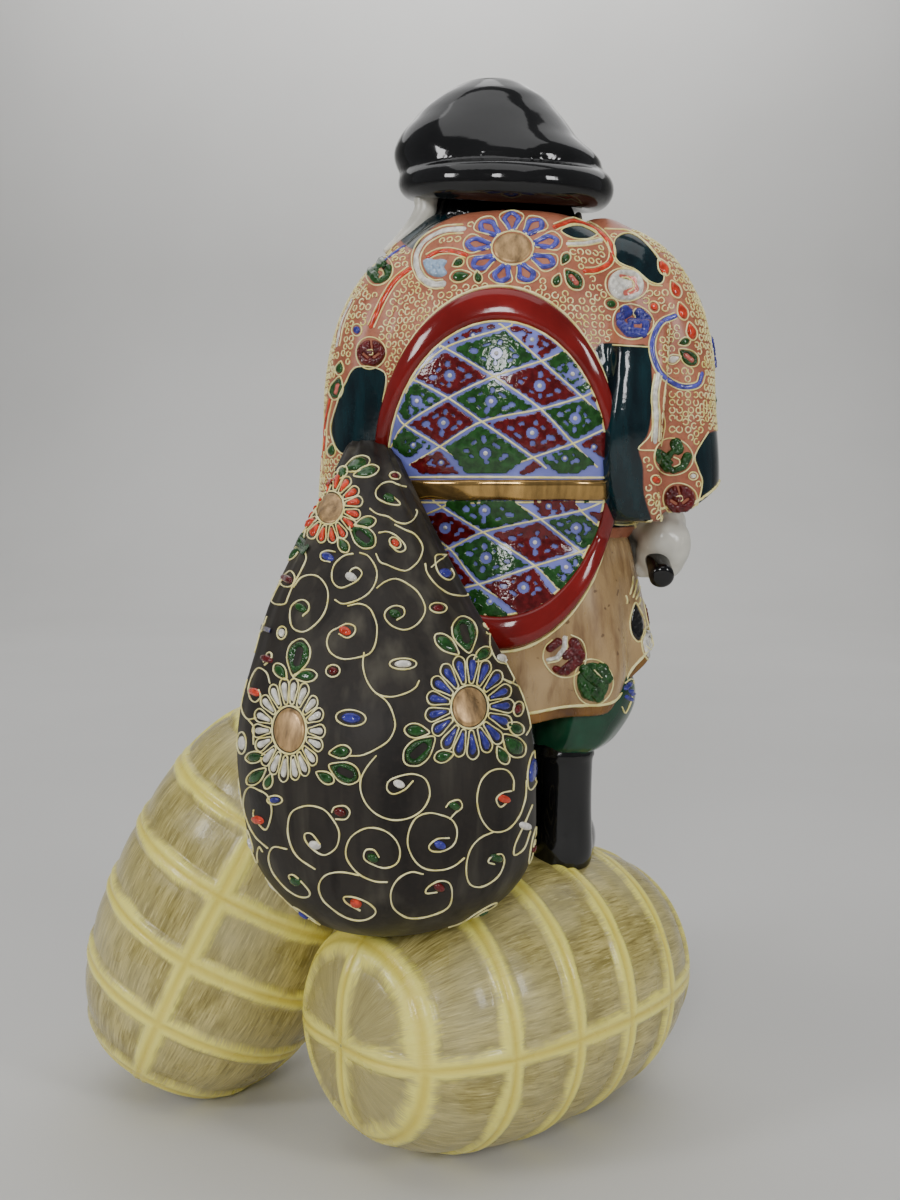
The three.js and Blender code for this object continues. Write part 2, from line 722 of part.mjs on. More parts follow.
// Arms
function sleeveVent(x, y) {
  return [
    [x, y, neckZ - SLEEVE_LENGTH * 0.6],
    [x, y, cuffZ - 20],
  ];
}
const rightVent = sleeveVent(bodyX + ROBE_WIDTH * 0.5, bodyY - 12);
const leftVent = sleeveVent(bodyX - ROBE_WIDTH * 0.46, bodyY + 5);
const sleeves = [sleeveRight, sleeveLeft];
const rightSleeveShell = hollowCasting(sleeveRight, [robe, handle], rightVent);
const leftSleeveShell = hollowCasting(sleeveLeft, [robe], leftVent);
keep("sleeve_right", "robe_enamel", rightSleeveShell.subtract(ringRoom));
keep("sleeve_left", "robe_enamel", leftSleeveShell.subtract(ringRoom));
keep("mallet_handle", "black_glaze", solidCasting(handle));
keep("mallet_head", "gold_lustre", solidCasting(malletHead, [handle, robe, sleeveRight]));
keep("hand_right", "white_glaze", solidCasting(fistRight, [handle, sleeveRight, robe, skirt]));
keep("hand_left", "white_glaze", solidCasting(fistLeft, [sleeveLeft, robe]));

// Sack
const sackNeighbours = [...bales, robe, skirt, sleeveLeft, trouserLeft, bootLeft.shaft];
const sackVent = [
  [sackAt[0], sackAt[1], sackZ + SACK_HEIGHT / 3],
  [sackAt[0], sackAt[1], sackZ - 10],
];
keep("sack", "charcoal_glaze", hollowCasting(sack, sackNeighbours, sackVent).subtract(ringRoom));
keep("sack_mouth", "charcoal_glaze", solidCasting(mouth, [fistLeft, sleeveLeft, robe]));

// Head and cap
const crownVent = solid(rod(v3(...capAt).add(v3(0, 0, CAP_HEIGHT * 0.4)), v3(...capAt), VENT_RADIUS, 6));
const crownCavity = mainBody(solid(crownRoom.skin).subtract(grown(headShape, JOINT_GAP + WALL)));
const hollowCrown = solidCasting(crown, [band, headShape]).subtract(crownCavity).subtract(crownVent);
keep("cap_band", "black_glaze", solidCasting(band, [robe, ...sleeves]));
keep("cap_crown", "black_glaze", hollowCrown);
const headAndNose = solid(headShape.skin).add(solid(nose.skin));
keep("head", "white_glaze", trimmed(headAndNose, [band, robe, ...sleeves]));
const ears = [ear(1), ear(-1)];
const earNeighbours = [headShape, band, crown, robe, ...sleeves];
keep("ear_right", "white_glaze", solidCasting(ears[0], earNeighbours));
keep("ear_left", "white_glaze", solidCasting(ears[1], earNeighbours));

// Hair on the nape, the collar and the front of the belt are laid on as thin strips
const nape = solid(new THREE.BoxGeometry(80, 40, 60).translate(headAt[0], headAt[1] - 30, headAt[2]));
const hair = grown(headShape, 1.8).subtract(grown(headShape, JOINT_GAP)).intersect(nape);
keep("hair", "black_glaze", trimmed(hair, [band, crown, robe, ...sleeves, ...ears]));

const collar = grown(robe, 2.2).intersect(collarStrip(1).add(collarStrip(-1)));
keep("collar", "white_glaze", trimmed(collar, [robe, headShape, ...sleeves, ...ears]));

const frontBlock = new THREE.BoxGeometry(ROBE_WIDTH * 2, 80, BELT_HEIGHT * 1.6);
const frontStrip = solid(frontBlock.translate(bodyX, bodyY + 48, beltZ));
const beltFront = grown(robe, BELT_RELIEF).intersect(frontStrip);
const beltNeighbours = [robe, ...sleeves, malletHead, handle, fistLeft];
keep("belt_front", "gold_lustre", trimmed(beltFront, beltNeighbours));

const reach = new THREE.Box3().setFromObject(group);
const middle = reach.getCenter(v3());
group.position.set(-middle.x, -middle.y, -reach.min.z);

export default group;
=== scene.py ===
import math
import random

import bpy
import numpy as np
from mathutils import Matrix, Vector
from mathutils.bvhtree import BVHTree
from mathutils.kdtree import KDTree


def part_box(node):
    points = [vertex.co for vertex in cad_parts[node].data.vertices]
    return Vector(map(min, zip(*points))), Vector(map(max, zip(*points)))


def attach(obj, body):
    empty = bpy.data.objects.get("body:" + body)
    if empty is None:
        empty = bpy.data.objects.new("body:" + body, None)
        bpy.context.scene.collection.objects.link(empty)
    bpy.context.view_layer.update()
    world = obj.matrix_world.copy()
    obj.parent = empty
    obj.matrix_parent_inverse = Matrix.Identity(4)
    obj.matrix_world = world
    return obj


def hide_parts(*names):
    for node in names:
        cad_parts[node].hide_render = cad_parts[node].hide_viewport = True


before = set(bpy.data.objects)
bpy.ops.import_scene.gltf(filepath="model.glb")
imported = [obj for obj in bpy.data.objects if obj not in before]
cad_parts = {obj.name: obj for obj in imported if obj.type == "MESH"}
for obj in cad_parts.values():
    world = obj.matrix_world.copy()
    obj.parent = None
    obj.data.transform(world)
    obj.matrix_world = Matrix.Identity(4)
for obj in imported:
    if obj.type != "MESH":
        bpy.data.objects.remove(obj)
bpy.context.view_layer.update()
random.seed(7)

# Everything is laid out in millimetres about the figure's own upright axis.
# SHIFT takes that frame to the row's frame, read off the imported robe.
MM = 0.001
BODY_X, BODY_Y = 2.0, 0.0
robe_low, robe_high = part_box("robe")
SHIFT = np.array(
    [
        (robe_low[0] + robe_high[0]) / 2 / MM - BODY_X,
        (robe_low[1] + robe_high[1]) / 2 / MM - BODY_Y - 2,
        0.0,
    ]
)

# ---- Camera: the photograph is 900 by 1200, and its pixels are used all through
PHOTO_WIDTH, PHOTO_HEIGHT = 900, 1200
FOCAL = 1300.0
EYE = np.array([-19.0, -433.3, 207.0])
PITCH = math.radians(5.1)
FORWARD = np.array([0, math.cos(PITCH), -math.sin(PITCH)])
RIGHT = np.array([1.0, 0, 0])
UP = np.array([0, math.sin(PITCH), math.cos(PITCH)])


def metres(points):
    return (np.asarray(points, float) + SHIFT) * MM


def make_camera():
    data = bpy.data.cameras.new("photo_camera")
    data.sensor_width = 36
    data.lens = 36 * FOCAL / PHOTO_HEIGHT
    camera = bpy.data.objects.new("photo_camera", data)
    bpy.context.scene.collection.objects.link(camera)
    camera.location = metres(EYE)
    camera.rotation_euler = (math.radians(90) - PITCH, 0, 0)
    bpy.context.scene.camera = camera


def ray(px, py):
    d = FORWARD + (px - PHOTO_WIDTH / 2) / FOCAL * RIGHT + (PHOTO_HEIGHT / 2 - py) / FOCAL * UP
    return d / np.linalg.norm(d)


def pixels_of(points):
    d = np.asarray(points, float) - EYE
    depth = d @ FORWARD
    return np.stack(
        [
            PHOTO_WIDTH / 2 + FOCAL * (d @ RIGHT) / depth,
            PHOTO_HEIGHT / 2 - FOCAL * (d @ UP) / depth,
        ],
        axis=1,
    )


# ---- Curves and meshes
def catmull(points, samples, closed=False):
    """A smooth curve through the points."""
    pts = np.asarray(points, float)
    n = len(pts)
    if closed:
        t = np.arange(samples) / samples * n
        i = np.floor(t).astype(int)
        f = (t - i)[:, None]
        p0, p1, p2, p3 = (pts[(i + k) % n] for k in (-1, 0, 1, 2))
    else:
        pts = np.vstack([2 * pts[0] - pts[1], pts, 2 * pts[-1] - pts[-2]])
        t = np.linspace(0, n - 1, samples)
        i = np.minimum(np.floor(t).astype(int), n - 2)
        f = (t - i)[:, None]
        p0, p1, p2, p3 = (pts[i + k] for k in range(4))
    return 0.5 * (
        2 * p1 + (p2 - p0) * f + (2 * p0 - 5 * p1 + 4 * p2 - p3) * f**2 + (3 * p1 - p0 - 3 * p2 + p3) * f**3
    )


def unit(v):
    return v / np.maximum(np.linalg.norm(v, axis=-1, keepdims=True), 1e-9)


def grid_faces(n, m, wrap=True, start=0):
    """Quads between n rows of m points, joined round when wrap is set."""
    i, j = np.meshgrid(np.arange(n - 1), np.arange(m if wrap else m - 1), indexing="ij")
    k = (j + 1) % m
    quads = np.stack([i * m + j, i * m + k, (i + 1) * m + k, (i + 1) * m + j], axis=-1)
    return (quads.reshape(-1, 4) + start).tolist()


def closed_rings(rings):
    """Vertices and faces of a closed form through rings of points, with a point at each end."""
    rings = np.asarray(rings, float)
    n, m = rings.shape[:2]
    verts = np.vstack([rings.reshape(-1, 3), rings[0].mean(axis=0), rings[-1].mean(axis=0)])
    faces = [[b, a, d, c] for a, b, c, d in grid_faces(n, m)]
    faces = [f[::-1] for f in faces]
    first, last = n * m, n * m + 1
    for j in range(m):
        k = (j + 1) % m
        faces.append([first, k, j])
        faces.append([last, (n - 1) * m + j, (n - 1) * m + k])
    return verts, faces


def ellipse_rings(at, half, axis, power, sides):
    """Rings of points: centres, half sizes and axes are arrays with one row per ring."""
    axis = unit(axis)
    x = np.array([1.0, 0, 0])
    across = unit(x - axis * axis[:, :1])
    deep = np.cross(axis, across)
    angle = 2 * np.pi * np.arange(sides) / sides
    c, s = np.cos(angle), np.sin(angle)
    e = (2 / power)[:, None]
    u = half[:, :1] * np.sign(c) * np.abs(c) ** e
    w = half[:, 1:2] * np.sign(s) * np.abs(s) ** e
    return at[:, None] + across[:, None] * u[..., None] + deep[:, None] * w[..., None]


def loft(stations, rings, sides):
    """Rings through stations of (centre, half sizes, axis, power)."""
    at, half, axis, power = (catmull([s[k] for s in stations], rings) for k in (0, 1, 2, 3))
    return ellipse_rings(at, half, axis, power[:, 0], sides)


def upright(at, size, shares, power=2.0):
    """Stations of an upright form, as shares of its size: height, half width, half depth, shifts."""
    width, depth, height = size
    stations = []
    for share in shares:
        t, w, d, dx, dy = (list(share) + [0, 0])[:5]
        centre = (at[0] + dx * width / 2, at[1] + dy * depth / 2, at[2] + t * height)
        stations.append((centre, (w * width / 2, d * depth / 2), (0, 0, 1), (power,)))
    return stations


def ellipsoid(at, half, rings=40, sides=56):
    t = np.linspace(0.02, np.pi - 0.02, rings)
    a = 2 * np.pi * np.arange(sides) / sides
    x = np.sin(t)[:, None] * np.cos(a)
    y = np.sin(t)[:, None] * np.sin(a)
    z = -np.cos(t)[:, None] * np.ones(sides)
    return closed_rings(np.stack([x, y, z], axis=-1) * half + np.asarray(at, float))


def joined(parts):
    verts, faces = [], []
    for v, f in parts:
        start = sum(len(x) for x in verts)
        verts.append(np.asarray(v, float))
        faces += [[i + start for i in face] for face in f]
    return np.vstack(verts), faces


def fused(parts, voxel, smoothing):
    """One skin round several closed forms, as the mould maker blends them."""
    verts, faces = joined(parts)
    mesh = bpy.data.meshes.new("fusing")
    mesh.from_pydata(verts.tolist(), [], faces)
    obj = bpy.data.objects.new("fusing", mesh)
    bpy.context.scene.collection.objects.link(obj)
    remesh = obj.modifiers.new("one_skin", "REMESH")
    remesh.mode = "VOXEL"
    remesh.voxel_size = voxel
    soft = obj.modifiers.new("soft", "SMOOTH")
    soft.factor = 0.5
    soft.iterations = smoothing
    graph = bpy.context.evaluated_depsgraph_get()
    result = bpy.data.meshes.new_from_object(obj.evaluated_get(graph))
    out = np.array([v.co[:] for v in result.vertices])
    out_faces = [list(p.vertices) for p in result.polygons]
    bpy.data.objects.remove(obj)
    bpy.data.meshes.remove(mesh)
    bpy.data.meshes.remove(result)
    return out, out_faces


def vertex_normals(verts, faces):
    normals = np.zeros_like(verts)
    for size in (3, 4):
        f = np.array([x for x in faces if len(x) == size])
        if len(f):
            n = np.cross(verts[f[:, 2]] - verts[f[:, 0]], verts[f[:, -1]] - verts[f[:, 1]])
            if size == 3:
                n = np.cross(verts[f[:, 1]] - verts[f[:, 0]], verts[f[:, 2]] - verts[f[:, 0]])
            for k in range(size):
                np.add.at(normals, f[:, k], n)
    return unit(normals)


class Skin:
    """A surface that enamel is laid on: rays and nearest points, with smooth normals."""

    def __init__(self, verts, faces):
        self.verts = np.asarray(verts, float)
        self.faces = faces
        self.normals = vertex_normals(self.verts, faces)
        self.tree = BVHTree.FromPolygons(self.verts.tolist(), faces)

    def _smooth(self, point, index):
        ids = self.faces[index]
        w = 1 / (np.linalg.norm(self.verts[ids] - point, axis=1) + 0.05)
        return unit((self.normals[ids] * w[:, None]).sum(axis=0))

    def cast(self, origin, direction):
        hit, _, index, _ = self.tree.ray_cast(Vector(origin), Vector(direction))
        if hit is None:
            return None
        point = np.array(hit)
        return point, self._smooth(point, index)

    def nearest(self, point):
        hit, _, index, _ = self.tree.find_nearest(Vector(point))
        found = np.array(hit)
        return found, self._smooth(found, index)


def piece(name, verts, faces, look, slot, nodes=(), values=None, smooth=True):
    """A new piece of the object, riding on the one body."""
    mesh = bpy.data.meshes.new(name)
    mesh.from_pydata(metres(verts).tolist(), [], faces)
    mesh.validate()
    if smooth:
        mesh.polygons.foreach_set("use_smooth", [True] * len(mesh.polygons))
    for key, array in (values or {}).items():
        layer = mesh.attributes.new(key, "FLOAT", "POINT")
        layer.data.foreach_set("value", np.asarray(array, float))
    mesh.materials.append(look)
    mesh.update()
    obj = bpy.data.objects.new(name, mesh)
    bpy.context.scene.collection.objects.link(obj)
    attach(obj, "root")
    if nodes:
        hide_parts(*nodes)
    return obj


# ---- Materials
def linear(r, g, b):
    """A colour given as it looks on a screen, 0 to 255."""
    out = []
    for c in (r, g, b):
        c /= 255
        out.append(c / 12.92 if c <= 0.04045 else ((c + 0.055) / 1.055) ** 2.4)
    return (*out, 1.0)


class Look:
    """A material under construction."""

    def __init__(self, name, colour, roughness=0.25, **settings):
        self.mat = bpy.data.materials.new(name)
        self.mat.use_nodes = True
        self.tree = self.mat.node_tree
        self.tree.nodes.clear()
        self.shader = self.node("ShaderNodeBsdfPrincipled")
        out = self.node("ShaderNodeOutputMaterial")
        self.tree.links.new(self.shader.outputs[0], out.inputs[0])
        self.set("Base Color", colour)
        self.set("Roughness", roughness)
        for key, value in settings.items():
            self.set(key.replace("_", " "), value)

    def node(self, kind, **settings):
        made = self.tree.nodes.new(kind)
        for key, value in settings.items():
            setattr(made, key, value)
        return made

    def plug(self, socket, value):
        if isinstance(value, bpy.types.NodeSocket):
            self.tree.links.new(value, socket)
        else:
            socket.default_value = value

    def set(self, key, value):
        self.plug(self.shader.inputs[key], value)

    def position(self):
        return self.node("ShaderNodeNewGeometry").outputs["Position"]

    def value(self, key):
        return self.node("ShaderNodeAttribute", attribute_name=key).outputs["Fac"]

    def stretched(self, source, scale):
        made = self.node("ShaderNodeVectorMath", operation="MULTIPLY")
        self.plug(made.inputs[0], source)
        made.inputs[1].default_value = scale
        return made.outputs[0]

    def combined(self, x, y, z):
        made = self.node("ShaderNodeCombineXYZ")
        for socket, value in zip(made.inputs, (x, y, z)):
            self.plug(socket, value)
        return made.outputs[0]

    def noise(self, scale, detail=3.0, roughness=0.5, source=None):
        made = self.node("ShaderNodeTexNoise")
        self.plug(made.inputs["Vector"], source or self.position())
        made.inputs["Scale"].default_value = scale
        made.inputs["Detail"].default_value = detail
        made.inputs["Roughness"].default_value = roughness
        return made.outputs["Fac"]

    def math(self, operation, a, b=0.0):
        made = self.node("ShaderNodeMath", operation=operation)
        self.plug(made.inputs[0], a)
        self.plug(made.inputs[1], b)
        return made.outputs[0]

    def span(self, value, low, high, to_low=0.0, to_high=1.0):
        made = self.node("ShaderNodeMapRange")
        self.plug(made.inputs["Value"], value)
        for key, number in zip(
            ("From Min", "From Max", "To Min", "To Max"), (low, high, to_low, to_high)
        ):
            self.plug(made.inputs[key], number)
        return made.outputs[0]

    def mix(self, factor, a, b):
        made = self.node("ShaderNodeMix", data_type="RGBA")
        self.plug(made.inputs[0], factor)
        self.plug(made.inputs[6], a)
        self.plug(made.inputs[7], b)
        return made.outputs[2]

    def bump(self, height, distance_mm, strength=1.0):
        made = self.node("ShaderNodeBump")
        self.plug(made.inputs["Height"], height)
        made.inputs["Distance"].default_value = distance_mm * MM
        made.inputs["Strength"].default_value = strength
        self.set("Normal", made.outputs[0])


# ---- Sizes of the figure, all in millimetres
BALE_RADIUS, BALE_HALF = 44.5, 66.0
ROPE_PITCH, ROPE_WIDTH, ROPE_HEIGHT = 23.4, 7.0, 1.5
ROPES = [-2.5, -1.5, -0.5, 0.5, 1.5, 2.5]
RIGHT_BALE_AT = np.array([-1.2, -20.5, 43.0])
LEFT_BALE_AT = np.array([-89.7, 4.5, 65.5])
RIGHT_BALE_TURN, LEFT_BALE_LEAN = math.radians(42.1), math.radians(27)
LEFT_ROPE_TURN = math.radians(-9)
SOLE_Z, TROUSER_Z, SKIRT_Z, ROBE_Z = 83.5, 120.0, 132.5, 174.5
NECK_Z, CUFF_Z, BELT_Z = 293.0, 196.0, 205.55
STANCE, LEG_Y = 31.0, -15.0
BACK_X, BACK_Z = -4.6, 211.0
RING_HALF = np.array([37.0, 54.5])
FIELD_HALF = np.array([33.0, 44.25])
RING_RELIEF, FIELD_RELIEF, BELT_RELIEF = 3.2, 1.4, 2.8
SACK_AT = (-38.0, -56.0, 75.0)
HEAD_AT = np.array([-3.5, 13.0, 282.0])
HEAD_HALF = np.array([28.0, 27.0, 30.0])
CAP_AT = np.array([0.0, 6.0, 301.0])
BAND_RADIUS = 6.2
FIST_RIGHT = np.array([52.0, -4.0, 184.0])
FIST_LEFT = np.array([-42.9, 42.0, 208.0])
HANDLE_TILT = math.radians(25)
HANDLE_AXIS = np.array([0, math.cos(HANDLE_TILT), math.sin(HANDLE_TILT)])
HANDLE_END = FIST_RIGHT + np.array([-3.5, 0, 1.0]) - 19 * HANDLE_AXIS
HANDLE_LENGTH = 84.0
MALLET_AT = HANDLE_END + HANDLE_LENGTH * HANDLE_AXIS
MALLET_HALF, MALLET_RADIUS = 21.0, 16.0


# ---- Rice bales
def rope_relief(distance, half):
    """Height of a rope of two cords laid side by side, by distance from its middle."""
    q = np.clip(np.abs(distance) / half, 0, 1)
    return np.sqrt(1 - q**2) ** 0.8 * (1 - 0.3 * np.exp(-((q / 0.22) ** 2)))


def make_bale(name, at, axis, up, rope_turn, look, seed):
    rows, sides = 210, 300
    fine = np.linspace(-1, 1, 4001)
    radius = BALE_RADIUS * np.maximum(1 - np.abs(fine) ** 2.25, 0) ** 0.3
    s = fine * BALE_HALF
    arc = np.concatenate([[0], np.cumsum(np.hypot(np.diff(s), np.diff(radius)))])
    stops = np.interp(np.linspace(0.004, 0.996, rows) * arc[-1], arc, np.arange(4001))
    s_at = np.interp(stops, np.arange(4001), s)
    r_at = np.interp(stops, np.arange(4001), radius)
    arc_at = np.linspace(0.004, 0.996, rows) * arc[-1]
    normal = unit(np.stack([np.gradient(s_at), -np.gradient(r_at)], axis=1))
    angle = 2 * np.pi * np.arange(sides) / sides
    rng = np.random.default_rng(seed)
    waver = sum(
        np.sin(k * angle + rng.uniform(0, 6.3)) * rng.uniform(0.2, 0.5) for k in (1, 2, 3, 5)
    )
    girth = np.min(
        [np.abs(s_at[:, None] - (r * ROPE_PITCH + waver * 0.6)) for r in ROPES], axis=0
    )
    quarter = np.pi / 2
    turned = (angle - rope_turn + quarter / 2) % quarter - quarter / 2
    lengthwise = np.abs(np.sin(turned))[None, :] * r_at[:, None]
    half = ROPE_WIDTH / 2
    relief = np.maximum(rope_relief(girth, half), rope_relief(lengthwise, half)) * ROPE_HEIGHT
    between = np.clip(np.minimum(girth, lengthwise) / 11, 0, 1)
    inside = np.clip((BALE_HALF - np.abs(s_at)) / 18, 0, 1)[:, None]
    puff = (np.sin(between * np.pi / 2) - 1) * 1.1 * inside
    lift = relief + puff
    r = r_at[:, None] + lift * normal[:, :1]
    along = s_at[:, None] + lift * normal[:, 1:2]
    axis = unit(np.asarray(axis, float))
    across = unit(np.cross(up, axis))
    other = np.cross(axis, across)
    rings = (
        at
        + r[..., None] * (np.cos(angle)[:, None] * across + np.sin(angle)[:, None] * other)
        + along[..., None] * axis
    )
    verts, faces = closed_rings(rings)
    verts[:, 2] = np.maximum(verts[:, 2], 0.0)
    rope = np.minimum(girth, lengthwise)
    values = {
        "rope": np.append(rope.ravel(), [half * 2] * 2),
        "girth": np.append(girth.ravel(), [half * 2] * 2),
        "round_mm": np.append((angle * BALE_RADIUS * np.ones((rows, 1))).ravel(), [0, 0]),
        "along_mm": np.append((arc_at[:, None] * np.ones(sides)).ravel(), [0, 0]),
        "lift": np.append(lift.ravel(), [0, 0]),
        "cap_end": np.append(
            (np.clip((np.abs(s_at) - 58) / 4, 0, 1)[:, None] * np.ones(sides)).ravel(), [1, 1]
        ),
    }
    return piece(name, verts, faces, look, "straw_glaze", [name.replace("straw_", "")], values)


def straw_look():
    look = Look("straw_glaze", linear(190, 176, 110), 0.33, Coat_Weight=0.25, Coat_Roughness=0.12)
    at = look.combined(look.value("round_mm"), look.value("along_mm"), 0.0)
    fine = look.noise(1.0, 5.0, 0.62, look.stretched(at, (1.5, 0.13, 1)))
    broad = look.noise(1.0, 3.0, 0.55, look.stretched(at, (0.22, 0.05, 1)))
    patch = look.noise(1.0, 3.0, 0.6, look.stretched(at, (0.06, 0.05, 1)))
    blotch = look.noise(38, 4.0)
    straw = look.mix(look.span(broad, 0.34, 0.66), linear(148, 135, 70), linear(200, 185, 112))
    straw = look.mix(look.span(fine, 0.36, 0.5, 0.3, 1.0), linear(112, 97, 44), straw)
    straw = look.mix(look.span(fine, 0.56, 0.66, 0, 0.7), straw, linear(226, 212, 142))
    straw = look.mix(look.span(blotch, 0.42, 0.7, 0, 0.5), straw, linear(204, 194, 146))
    straw = look.mix(look.span(look.value("cap_end"), 0, 1, 0, 0.5), straw, linear(172, 160, 106))
    uneven = look.span(patch, 0.3, 0.7, -1.3, 1.3)
    ragged = look.math("ADD", look.span(fine, 0.3, 0.7, -0.9, 1.2), uneven)
    brushed = look.math("ADD", look.value("rope"), ragged)
    cream = look.span(brushed, 2.2, 4.2, 0.95, 0)
    # Painted shade: each rope is darker in the groove between its two cords and lighter out on the cords
    groove_shade = look.span(look.value("rope"), 0.0, 1.6)
    rope = look.mix(groove_shade, linear(226, 204, 74), linear(255, 246, 124))
    rope = look.mix(look.span(broad, 0.35, 0.7, 0, 0.5), rope, linear(244, 226, 104))
    look.set("Base Color", look.mix(cream, straw, rope))
    look.set("Roughness", look.span(blotch, 0.3, 0.7, 0.2, 0.36))
    look.bump(look.math("ADD", fine, look.span(broad, 0.3, 0.7, 0, 0.8)), 0.3, 0.6)
    return look.mat


# ---- Trousers, boots and skirt
def make_boot(name, x, y, turned_out, look, node):
    shaft = loft(
        [
            ((x, y, SOLE_Z - 1.5), (9.2, 9.2), (0, 0, 1), (2,)),
            ((x, y, SOLE_Z + 4), (10.3, 10.6), (0, 0, 1), (2,)),
            ((x, y, SOLE_Z + 20), (9.8, 9.8), (0, 0, 1), (2,)),
            ((x, y, SOLE_Z + 40.5), (10.2, 10.2), (0, 0, 1), (2,)),
        ],
        40,
        48,
    )
    turn = -math.radians(turned_out)
    verts, faces = ellipsoid((0, 11, 0), (10.8, 21, 11.5))
    low = verts[:, 2] < -4.2
    verts[low, 2] = -4.2
    c, s = math.cos(turn), math.sin(turn)
    verts = verts @ np.array([[c, s, 0], [-s, c, 0], [0, 0, 1]]) + (x, y, SOLE_Z + 5)
    cuff = ellipsoid((x, y, SOLE_Z + 36.5), (10.9, 10.9, 3))
    verts, faces = fused([closed_rings(shaft), (verts, faces), cuff], 0.9, 9)
    return piece(name, verts, faces, look, "black_glaze", [node])


def make_trouser(name, side, look, node):
    at = (BODY_X + side * (STANCE / 2 + 6.65), LEG_Y + 5, TROUSER_Z)
    shares = [
        [0, 0.3, 0.4, -side * 0.3, -0.1],
        [0.03, 0.62, 0.66, -side * 0.3, -0.1],
        [0.16, 0.86, 0.9, -side * 0.18],
        [0.45, 1, 1],
        [0.75, 0.9, 0.95],
        [0.95, 0.55, 0.6],
        [1, 0.15, 0.15],
    ]
    rings = loft(upright(at, (35, 38.5, 36.5), shares), 60, 120)
    angle = 2 * np.pi * np.arange(120) / 120
    t = np.linspace(0, 1, 60)
    gather = np.exp(-((t / 0.38) ** 2)) * np.clip(t / 0.04, 0, 1)
    fold = 1 - 0.045 * gather[:, None] * (0.5 + 0.5 * np.cos(9 * angle + 1.3 * np.sin(2 * angle)))
    centre = rings.mean(axis=1, keepdims=True)
    rings = centre + (rings - centre) * np.stack([fold, fold, np.ones_like(fold)], axis=-1)
    verts, faces = closed_rings(rings)
    piece(name, verts, faces, look, "green_glaze", [node])
    return Skin(verts, faces)


SKIRT_SHARES = [
    [0, 0.55, 0.55],
    [0.01, 0.86, 0.86],
    [0.05, 0.95, 0.93],
    [0.22, 1, 1, 0.02],
    [0.42, 0.97, 0.99],
    [0.64, 0.9, 0.94],
    [0.83, 0.8, 0.86],
    [0.96, 0.5, 0.55],
    [1, 0.1, 0.1],
]


def hem_rise(angle):
    """How far the skirt's hem is lifted above its lowest line, by angle round the figure."""
    side = np.exp(-(((angle - math.radians(2)) / math.radians(40)) ** 4))
    left = np.exp(-(((np.abs(angle) - np.pi) / math.radians(40)) ** 4))
    return 1.5 + 18 * side + 9 * left + 1.2 * np.sin(5 * angle + 0.7)


def skirt_rings():
    rows, sides = 110, 288
    angle = 2 * np.pi * np.arange(sides) / sides
    rings = loft(upright((BODY_X, BODY_Y, SKIRT_Z), (92, 78, 72), SKIRT_SHARES), 200, sides)
    wrapped = (angle + np.pi) % (2 * np.pi) - np.pi
    rise = hem_rise(wrapped)
    out = np.zeros((rows, sides, 3))
    heights = np.array([r[0, 2] for r in rings])
    share = np.linspace(0, 1, rows)
    for j in range(sides):
        z = SKIRT_Z + 3 + rise[j] - 3 + (204.2 - SKIRT_Z - rise[j]) * share
        for k in range(2):
            out[:, j, k] = np.interp(np.maximum(z, SKIRT_Z + 3.6), heights, rings[:, j, k])
        out[:, j, 2] = z
    fold = np.exp(-((share / 0.55) ** 2))[:, None] * (
        0.022 * np.sin(7 * wrapped + 1.1)
        + 0.02 * np.sin(11 * wrapped - 0.6)
        - 0.05 * np.exp(-(((wrapped - math.radians(-32)) / 0.16) ** 2))
    )
    out[..., 0] = BODY_X + (out[..., 0] - BODY_X) * (1 + fold - 0.01)
    out[..., 1] = BODY_Y + (out[..., 1] - BODY_Y) * (1 + fold - 0.01)
    return out, wrapped


def make_skirt(look):
    """The skirt hangs open below: its hem is turned in and runs up inside."""
    outer, angle = skirt_rings()
    centre = np.array([BODY_X, BODY_Y, 0])
    inner = []
    for inset, up in ((0.985, -0.7), (0.955, -0.9), (0.93, 0.2), (0.9, 12.0), (0.5, 20.0)):
        ring = centre + (outer[0] - centre) * (inset, inset, 1)
        ring[:, 2] = outer[0][:, 2] + up
        inner.append(ring)
    rings = np.concatenate([np.array(inner[::-1]), outer])
    verts, faces = closed_rings(rings)
    up = np.concatenate([[-5.0] * len(inner) * outer.shape[1], (outer[..., 2] - outer[0, :, 2]).ravel()])
    values = {"above_hem": np.append(up, [-5, 60])}
    obj = piece("skirt_cloth", verts, faces, look, "tan_glaze", ["skirt"], values)
    return Skin(verts, faces), obj


# ---- Robe: body and both sleeves under one skin
ROBE_SHARES = [
    [0, 0.25, 0.25],
    [0.04, 0.52, 0.56],
    [0.14, 0.78, 0.82],
    [0.26, 0.89, 0.94],
    [0.42, 0.97, 1],
    [0.58, 1, 0.98],
    [0.72, 0.95, 0.9],
    [0.83, 0.84, 0.75, 0, -0.06],
    [0.92, 0.67, 0.56, -0.02, -0.14],
    [0.98, 0.44, 0.38, -0.03, -0.2],
    [1, 0.15, 0.15, -0.03, -0.2],
]
SLEEVE_STOPS = [
    [0, 0, 0.3, 0.35],
    [0.12, 0.3, 0.86, 0.82],
    [0.3, 0.62, 1.04, 0.97],
    [0.5, 0.86, 1.02, 1],
    [0.7, 0.97, 0.96, 1],
    [0.88, 1.05, 0.96, 0.98],
    [0.985, 1.07, 0.97, 0.97],
    [1, 1.07, 0.955, 0.955],
]
SLEEVE_LENGTH = 91.0


def hem_droop(rings):
    """How far the right sleeve's hem hangs down towards its outer corner."""
    x, z = rings[..., 0], rings[..., 2]
    hem = rings[-1]
    out = (x - hem[:, 0].min()) / np.ptp(hem[:, 0])
    near = np.clip(1 + (hem[:, 2].mean() - z) / 16, 0, 1)
    return 3.4 * near * np.sin(np.pi * np.clip((out - 0.3) / 0.7, 0, 1)) ** 0.8


